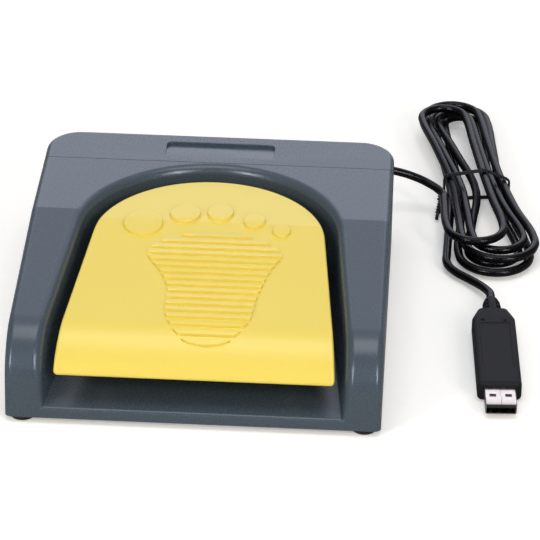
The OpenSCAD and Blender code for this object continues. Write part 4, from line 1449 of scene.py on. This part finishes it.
    def build_shell(self) -> bpy.types.Object:
        """Fold the steel shell with its latch windows and its seam.

        Returns:
            The shell's object.
        """
        h, (low, high) = self.shell_h / 2, self.window_y
        ends = (self.shell_out, self.shell_out + self.shell_in)
        seam = self.dovetail + tuple((y, self.seam_x) for y in ends)
        rings = [self.shell_ring(x, self.shell_pull if y == 0 else 0.0) for y, x in seam]
        skin = Skin()
        n = len(rings[0])
        for i, (near, far) in enumerate(zip(rings, rings[1:])):
            for j in range(n):
                k = (j + 1) % n
                flat = all(abs(abs(p[1]) - h) < 1e-6 for p in (far[j], far[k]))
                window = {abs(far[j][0]), abs(far[k][0])} == set(self.window_x)
                if flat and window and low <= seam[i][0] < high:
                    continue
                if flat and far[j][1] > 0 and abs(far[j][0] - far[k][0]) < 1.4 * self.seam_w:
                    continue
                quad = ((near[j], i), (near[k], i), (far[k], i + 1), (far[j], i + 1))
                skin.face([self.place(p[0], seam[m][0], self.z + p[1]) for p, m in quad])
        made = skin.piece("plug_shell", NICKEL, merge=0.01)
        made.modifiers.clear()
        wall = made.modifiers.new("sheet", "SOLIDIFY")
        wall.thickness, wall.offset = self.shell_t * MM, -1.0
        made = baked(made)
        made.data.set_sharp_from_angle(angle=math.radians(32))
        even = made.modifiers.new("flat_faces", "WEIGHTED_NORMAL")
        even.keep_sharp = True
        return baked(made)

    def dress(self) -> list[bpy.types.Object]:
        """Build the plug's pieces and tie them to the housing's body.

        Returns:
            The pieces that lie on the cord.
        """
        return [dress(self.build_body(), "housing", "black_moulding", ("plug_body",)),
                dress(self.build_spine(), "housing", "black_moulding"),
                dress(self.build_neck(), "housing", "black_moulding"),
                dress(self.build_shell(), "housing", "steel", ("usb_shell",))]


@dataclass
class Cord:
    """The black cord: out of the cover, into its tied hank, and on to the plug. Millimetres."""

    diameter: float = 3.5
    exit: Point = (50.0, 79.0, 22.0)
    strand: float = 4.2
    loops: int = 5
    # Points of a loop: 2 to its near end, 8 round that, 4 to its far end, 8 round that, and 2 back
    rings: int = 24
    centre: Pair = (105.6, 105.0)
    turn: float = 8.5
    base_z: float = 3.0
    # Ends of the loops in each of three layers, from the table up: place along and across, radius
    near_u: tuple = (49.5, 46, 41)
    near_v: tuple = (0.5, 3, -6.5)
    near_r: tuple = (14.5, 14.5, 11.5)
    far_u: tuple = (68.5, 64, 55)
    far_v: tuple = (2.8, -1.2, -6.5)
    far_r: tuple = (11.5, 11.5, 9.5)
    # Each loop's layer, and whether it lies inside the other loop of its layer, set back at both ends
    layer: tuple = (2, 1, 1, 0, 0)
    nest: tuple = (0, 0, 1, 1, 0)
    near_set: float = 3.0
    far_set: float = 4.0
    # Slots at the waist in strands: runs to the near ends and the way out, and runs to the far ends
    left_slot: tuple = (-3.6, -2.5, -1.5, 0, -1.5, -2.5)
    right_slot: tuple = (0.8, 2.7, 1.7, 1.7, 2.7)
    # Where the cord steps down a layer, in loops, and where it leaves the hank
    drops: tuple = (0.95, 2.95)
    drop_t: float = 0.1
    out_uv: tuple = (46.0, -18.6)
    # The flat tie: place along the hank, thickness and play
    tie_u: float = 3.0
    tie_t: float = 0.85
    tie_gap: float = 0.35
    # How far the five outer strands that it presses on give way across, and the last one's layer
    tie_give: tuple = (-0.3, 0.6, 0.6, 0.0, -0.4)
    tie_layer: float = 1.57
    # Its section round the bundle: place along and height, with a wire rib along its middle
    tie_flat: tuple = ((-1.3, 0.15), (-1.15, 0.5), (-0.5, 0.55), (0, 0.85), (0.5, 0.55), (1.15, 0.5),
                       (1.3, 0.15), (1.15, 0), (-1.15, 0))
    # Its two twisted ends: points, of which the first are wide and the last straight, and turn at each
    twist_n: int = 31
    twist_wide: int = 7
    twist_last: int = 24
    twist_turn: float = 0.95
    twist_r: Pair = (1.1, 0.55)
    twist_step: Pair = (0.165, 0.66)
    twist_z: float = 1.75
    end_r: Pair = (0.7, 0.5)
    lead: tuple = ((50, 61, 22), (50, 73, 22), (50, 81.6, 22), (50, 85, 22), (53, 91, 21.8),
                   (61, 94.8, 20.5), (70.5, 96.2, 18.5), (79, 96.8, 15.8), (85.5, 95.6, 13.4),
                   (90, 92.6, 11.9), (91.78, 89.3, 11.4), (92.05, 85.8, 11.4))
    tail: tuple = ((93.9, 53.2, 3), (93.83, 49.7, 3), (94.9, 45.5, 3), (98, 40.6, 3), (102.5, 36.2, 3),
                   (106.7, 31.6, 3.3), (109.8, 26.9, 3.8), (111.70, 22.24, 4.3), (111.87, 18.75, 4.3),
                   (112.05, 15.25, 4.3), (112.5, 6.3, 4.3), (113.07, -4.8, 4.3))

    @staticmethod
    def ease(s: float) -> float:
        """Return a smooth step from 0 to 1."""
        return (1 - math.cos(math.pi * min(1.0, max(0.0, s)))) / 2

    def ends(self, i: int) -> tuple[float, ...]:
        """Work out both ends of a loop.

        Args:
            i: Number of the loop. The number after the last is the way out.

        Returns:
            Place along and across and radius, of the near end and then of the far end.
        """
        if i == self.loops:
            return (*self.out_uv, 0.0, 1.0, 0.0, 0.0)
        k, n = self.layer[i], self.nest[i]
        return (self.near_u[k] - self.near_set * n, self.near_v[k], self.near_r[k] - self.strand * n,
                self.far_u[k] - self.far_set * n, self.far_v[k], self.far_r[k] - self.strand * n)

    def run(self, u: float, slot: float, p: tuple[float, ...], side: int) -> Pair:
        """Find a point of a run between two ends, drawn in to its slot at the waist.

        Args:
            u: Place along the hank.
            slot: The run's slot at the waist, in strands.
            p: Ends of the loop.
            side: -1 on the left, 1 on the right.

        Returns:
            Place along and across the hank.
        """
        w = self.strand * slot
        if u <= 0:
            return u, w + (p[1] + side * p[2] - w) * self.ease(-u / p[0])
        return u, w + (p[4] + side * p[5] - w) * self.ease(u / p[3])

    def loop_uv(self, i: int, m: int) -> Pair:
        """Find one point of a loop.

        Args:
            i: Number of the loop.
            m: Number of the point in the loop.

        Returns:
            Place along and across the hank.
        """
        p = self.ends(i)
        if m < 2:
            return self.run(-p[0] * m / 2, self.left_slot[i], p, -1)
        if m < 10:
            a = math.radians(22.5 * (m - 2))
            return -p[0] - p[2] * math.sin(a), p[1] - p[2] * math.cos(a)
        if m < 14:
            return self.run(-p[0] + (p[0] + p[3]) * (m - 10) / 4, self.right_slot[i], p, 1)
        if m < 22:
            a = math.radians(22.5 * (m - 14))
            return p[3] + p[5] * math.sin(a), p[4] + p[5] * math.cos(a)
        return self.run(p[3] * (24 - m) / 2, self.left_slot[i + 1], p, -1)

    def place(self, v: float, u: float, z: float) -> Point:
        """Turn a place across, along and above the hank into the part's frame."""
        c, s = math.cos(math.radians(self.turn)), math.sin(math.radians(self.turn))
        return (self.centre[0] - u * s + v * c, self.centre[1] + u * c + v * s, z)

    def hank_point(self, k: int) -> Point:
        """Find one point of the hank.

        Args:
            k: Number of the point.

        Returns:
            The point in the part's frame.
        """
        t = k / self.rings
        z = self.base_z + self.strand * (2 - sum(self.ease((t - d) / self.drop_t) for d in self.drops))
        u, v = self.loop_uv(k // self.rings, k % self.rings)
        return self.place(v, u, z)

    def build(self) -> tuple[bpy.types.Object, float]:
        """Lay the cord as one smooth curve.

        Returns:
            The curve's object and its length in metres.
        """
        hank = [self.hank_point(k) for k in range(1, self.loops * self.rings + 3)]
        points = [np.array(p, float) for p in list(self.lead) + hank + list(self.tail)]
        curve = bpy.data.curves.new("cord_run", "CURVE")
        curve.dimensions = "3D"
        curve.bevel_depth = self.diameter / 2 * MM
        curve.bevel_resolution = 4
        curve.resolution_u = 5
        curve.use_fill_caps = True
        line = curve.splines.new("BEZIER")
        line.bezier_points.add(len(points) - 1)
        for spot, p in zip(line.bezier_points, points):
            spot.co = p * MM
            spot.handle_left_type = spot.handle_right_type = "AUTO"
        curve.materials.append(JACKET.material())
        made = placed("cord_run", curve)
        bpy.context.view_layer.update()
        return made, line.calc_length()

    def tie_ring(self, r: float) -> list[Pair]:
        """Work out a ring about the bundle at the tie, where its outer strands give a little.

        Args:
            r: Distance from the strands' middles.

        Returns:
            Places across and above the hank, counter-clockwise.
        """
        left, right = self.left_slot, self.right_slot
        slots = ((left[5], 0), (right[4], 0), (right[1], 1), (right[0], 2), (left[1], self.tie_layer))
        spots = [(self.strand * slot + give, self.base_z + self.strand * layer)
                 for (slot, layer), give in zip(slots, self.tie_give)]
        turns = []
        for (x0, z0), (x1, z1) in zip(spots, spots[1:] + spots[:1]):
            turns.append(math.degrees(math.atan2(z1 - z0, x1 - x0)) - 90)
        ring = []
        for k, (x, z0) in enumerate(spots):
            low, high = turns[k - 1], turns[k]
            high += 360 * (high < low)
            ring += bow(x, z0, r, arc(8, low, high))
        return ring

    def build_tie(self) -> bpy.types.Object:
        """Bend the flat twist tie round the bundle, with its two ends twisted together.

        Returns:
            The tie's object.
        """
        skin = Skin()
        inner = self.diameter / 2 + self.tie_gap
        rows = [[self.place(v, self.tie_u + u, z) for v, z in self.tie_ring(inner + out)]
                for u, out in self.tie_flat]
        skin.grid(rows + rows[:1], closed=True)
        # The ends leave the bundle's left side and run back along it, the twist a little flatter than round
        start_v = self.strand * self.left_slot[5] + self.tie_give[0] - self.diameter / 2 - self.tie_t - 0.5
        for side in (0, 1):
            path = []
            for k in range(self.twist_n):
                wide = self.twist_r[k >= self.twist_wide]
                a = self.twist_turn * k + math.pi * side
                v = start_v - self.twist_step[0] * k + wide * math.sin(a) * (k < self.twist_last)
                u = self.tie_u + 1 - self.twist_step[1] * k
                path.append(np.array(self.place(v, u, self.twist_z + 0.62 * wide * math.cos(a))))
            tube = []
            for k, p in enumerate(path):
                d = unit(path[min(k + 1, len(path) - 1)] - path[max(k - 1, 0)])
                flat = unit(np.cross(d, (0, 0, 1)))
                up = np.cross(flat, d)
                tube.append([p + self.end_r[0] * math.cos(b) * flat + self.end_r[1] * math.sin(b) * up
                             for b in circle(10)])
            skin.loft(tube)
        return skin.piece("hank_tie", BLACK_PVC)

    def build_grommet(self) -> bpy.types.Object:
        """Turn the grommet that leads the cord out of the cover.

        Returns:
            The grommet's object.
        """
        skin = Skin()
        # Radius of its neck in the wall and of its bore, then its section from inside the cover to outside
        r, b = self.diameter / 2 + 2.4, self.diameter / 2 + 0.03
        profile = [(b, 75.2), (r + 1.2, 75.2), (r + 1.2, 76.4), (r, 76.6), (r, 79.0), (r + 1.4, 79.02),
                   (r + 1.4, 80.2), (r + 1.1, 80.7), (r + 0.5, 81.0), (b + 0.6, 81.0), (b + 0.15, 80.8),
                   (b, 80.4), (b, 75.2)]
        x, _, z = self.exit
        skin.grid([[(px, y, pz) for px, pz in bow(x, z, q, circle(36))] for q, y in profile], closed=True)
        return skin.piece("cord_outlet", RUBBER)

    def dress(self, plug: list[bpy.types.Object]) -> None:
        """Args:
            plug: Pieces of the plug at its far end; not used.
        """
        cord, length = self.build()
        dress(cord, "housing", "cord_jacket", ("cord_lead", "cord_hank", "cord_tail"))
        tie = dress(self.build_tie(), "housing", "cord_jacket", ("cord_tie",))
        dress(self.build_grommet(), "housing", "black_rubber", ("cord_grommet",))


CAD_FINISH = {
    "base_plate": GREY_ABS, "hinge_pin": ZINC, "pin_clips": ZINC, "stop_pads": RUBBER,
    "switch_case": BLACK_PBT, "switch_terminals": GOLD, "switch_screws": ZINC, "switch_leads": WHITE_POM,
    "cable_clamp": BLACK_PBT, "clamp_screws": ZINC, "switch_lever": ZINC, "switch_plunger": WHITE_POM,
    "usb_tongue": BLACK_PBT, "usb_contacts": GOLD, "plug_board": GREEN_BOARD, "controller_chip": BLACK_PBT,
}


def dress_cad_nodes() -> None:
    """Give the CAD nodes that stay in view their finishes."""
    for name, finish in CAD_FINISH.items():
        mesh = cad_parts[name].data
        mesh.materials.clear()
        mesh.materials.append(finish.material())
        LOG.info("%s keeps its CAD shape, %s", name, finish.name)


@dataclass
class Studio:
    """Camera at the photograph's view, plain soft light and a pale floor. Metres and degrees."""

    eye: Point = (0.082665, -1.10879, 0.67524)
    euler: Point = (120.413, 2.595, 2.321)
    lens: float = 218.381
    sensor: float = 36.0
    backdrop: str = "#ffffff"
    # Even light from the horizon to straight up
    ambient: Pair = (0.4, 0.5)
    # What glossy surfaces mirror: dim surroundings, a sweep behind that dulls upwards, two strips in front
    dim: float = 0.2
    sweep: float = 1.95
    sweep_top: float = 0.5
    sweep_tint: str = "#eef0ff"
    strip: float = 26.0
    # The floor: half size and height in millimetres, glow near the object, share that black pieces mirror
    floor_half: float = 2500.0
    floor_z: float = -0.05
    lift: float = 0.28
    floor_glint: float = 0.45
    # Lamps: place, size, power and tint of the panel overhead and of the tall boxes beside the camera
    aim: Point = (0.02, 0.0, 0.0)
    panel: tuple = ((0.02, -0.05, 1.2), (0.75, 0.6), 4.2, "#fafbff")
    box_at: Point = (0.78, -0.85, 0.58)
    box: tuple = ((0.2, 0.55), 4.9, "#fff3e2")

    def camera(self) -> None:
        """Set the camera."""
        data = bpy.data.cameras.new("view")
        data.lens, data.sensor_width, data.sensor_fit = self.lens, self.sensor, "HORIZONTAL"
        data.clip_end = 50
        eye = placed("view", data)
        m = Euler([math.radians(a) for a in self.euler], "XYZ").to_matrix()
        turn = Matrix((m[0], -m[1], -m[2])).transposed()
        eye.matrix_world = Matrix.Translation(Vector(self.eye)) @ turn.to_4x4()
        bpy.context.scene.camera = eye

    def lamp(self, name: str, at: Point, size: Pair, power: float, tint: str) -> bpy.types.Object:
        """Add a soft rectangular lamp that faces the object.

        Args:
            name: Name of the lamp.
            at: Its place.
            size: Its width and height.
            power: Its power in watts.
            tint: sRGB hex of its light.

        Returns:
            The lamp.
        """
        data = bpy.data.lights.new(name, "AREA")
        data.shape, data.size, data.size_y, data.energy = "RECTANGLE", size[0], size[1], power
        data.color = linear(tint)[:3]
        made = placed(name, data)
        made.matrix_world = Matrix.Translation(Vector(at)) @ (
            (Vector(self.aim) - Vector(at)).to_track_quat("-Z", "Y").to_matrix().to_4x4())
        return made

    def world(self) -> None:
        """Light the scene evenly. The camera sees white, and glossy surfaces a bright sweep at the back."""
        made = bpy.data.worlds.new("sweep")
        bpy.context.scene.world = made
        made.use_nodes = True
        tree = made.node_tree
        tree.nodes.clear()
        path = add(tree, "ShaderNodeLightPath")
        way = add(tree, "ShaderNodeSeparateXYZ", {0: add(tree, "ShaderNodeTexCoord").outputs["Generated"]})
        # The sweep dulls above, ends at the front and at its sides, and fades towards the horizon
        low = add(tree, "ShaderNodeMapRange", {"Value": way.outputs["Z"], "From Min": 0.55, "From Max": 0.63,
                                               "To Min": self.sweep, "To Max": self.sweep_top})
        back = add(tree, "ShaderNodeMapRange", {"Value": way.outputs["Y"], "From Min": 0.0, "From Max": 0.3})
        aside = add(tree, "ShaderNodeMath", {0: way.outputs["X"]}, operation="ABSOLUTE")
        narrow = add(tree, "ShaderNodeMapRange", {"Value": aside, "From Min": 0.3, "From Max": 0.5,
                                                  "To Min": 1.0, "To Max": 0.0})
        wide = add(tree, "ShaderNodeMath", {0: back, 1: narrow}, operation="MULTIPLY")
        foot = add(tree, "ShaderNodeMapRange", {"Value": way.outputs["Z"], "From Min": 0.05, "From Max": 0.3,
                                                "To Min": 0.3})
        panel = add(tree, "ShaderNodeMath", {0: wide, 1: foot}, operation="MULTIPLY")
        rear = add(tree, "ShaderNodeMath", {0: low, 1: panel, 2: self.dim}, operation="MULTIPLY_ADD")
        # Two upright strips at the front, which the rounded arms mirror as short streaks
        turn = add(tree, "ShaderNodeMath", {0: aside, 1: way.outputs["Y"]}, operation="DIVIDE")
        strip = self.strip
        for value, dark, bright in ((turn, -0.75, -0.68), (turn, -0.45, -0.52),
                                    (way.outputs["Z"], 0.26, 0.32), (way.outputs["Z"], 0.68, 0.62)):
            strip = add(tree, "ShaderNodeMapRange", {"Value": value, "From Min": dark, "From Max": bright,
                                                     "To Max": strip})
        sweep = add(tree, "ShaderNodeMath", {0: rear, 1: strip}, operation="ADD")
        rise = add(tree, "ShaderNodeMapRange", {"Value": way.outputs["Z"], "From Min": 0.0, "From Max": 1.0,
                                                "To Min": self.ambient[0], "To Max": self.ambient[1]})
        pale = linear(self.backdrop)
        soft = add(tree, "ShaderNodeBackground", {"Color": pale, "Strength": rise})
        white = add(tree, "ShaderNodeBackground", {"Color": pale, "Strength": 1.0})
        mirror = add(tree, "ShaderNodeBackground", {"Color": linear(self.sweep_tint), "Strength": sweep})
        shiny = add(tree, "ShaderNodeMath", {0: path.outputs["Is Glossy Ray"],
                                             1: path.outputs["Is Transmission Ray"]}, operation="MAXIMUM")
        first = add(tree, "ShaderNodeMixShader", {0: shiny, 1: soft, 2: mirror})
        last = add(tree, "ShaderNodeMixShader", {0: path.outputs["Is Camera Ray"], 1: first, 2: white})
        add(tree, "ShaderNodeOutputWorld", {"Surface": last})

    def floor(self) -> None:
        """Lay a white floor that keeps the object's shadow. Far from it the camera sees plain white."""
        skin = Skin()
        skin.face([(self.floor_half * x, self.floor_half * y, self.floor_z)
                   for x, y in ((-1, -1), (1, -1), (1, 1), (-1, 1))])
        made = skin.piece("floor", PAPER)
        made.modifiers.clear()
        tree = PAPER.material().node_tree
        path = add(tree, "ShaderNodeLightPath")
        reach = add(tree, "ShaderNodeVectorMath", {0: add(tree, "ShaderNodeTexCoord").outputs["Object"]},
                    operation="LENGTH")
        far = add(tree, "ShaderNodeMapRange", {"Value": reach.outputs["Value"],
                                               "From Min": 0.25, "From Max": 0.8,
                                               "To Min": self.lift, "To Max": 1.0})
        glow = add(tree, "ShaderNodeMath", {0: far, 1: path.outputs["Is Camera Ray"]}, operation="MULTIPLY")
        light = add(tree, "ShaderNodeEmission", {"Color": linear(self.backdrop), "Strength": glow})
        end = next(node for node in tree.nodes if node.type == "OUTPUT_MATERIAL")
        plain = end.inputs["Surface"].links[0].from_socket
        both = add(tree, "ShaderNodeAddShader", {0: plain, 1: light})
        # Black pieces mirror a duller floor, as in the photograph
        dull = add(tree, "ShaderNodeMath", {0: path.outputs["Is Glossy Ray"], 1: 1 - self.floor_glint},
                   operation="MULTIPLY")
        shown = add(tree, "ShaderNodeMixShader", {0: dull, 1: both})
        tree.links.new(shown.outputs[0], end.inputs["Surface"])

    def light(self) -> None:
        """Hang the overhead panel and a tall soft box on either side of the camera."""
        self.lamp("overhead_panel", *self.panel)
        x, y, z = self.box_at
        for side in (-1, 1):
            box = self.lamp(f"front_box_{side + 1}", (side * x, y, z), *self.box)
            box.visible_glossy = False


def main() -> None:
    """Build the studio's camera, the plug and the cord first and then the rest, then the floor, world and
    lamps.
    """
    logging.basicConfig(level=logging.INFO, format="%(message)s")
    bpy.context.scene.view_settings.view_transform = "Standard"
    studio = Studio()
    studio.camera()
    plug = Plug().dress()
    Cord().dress(plug)
    Housing().dress()
    Pedal().dress()
    Underside().dress()
    Spring().dress()
    dress_cad_nodes()
    studio.floor()
    studio.world()
    studio.light()


if __name__ == "__main__":
    main()
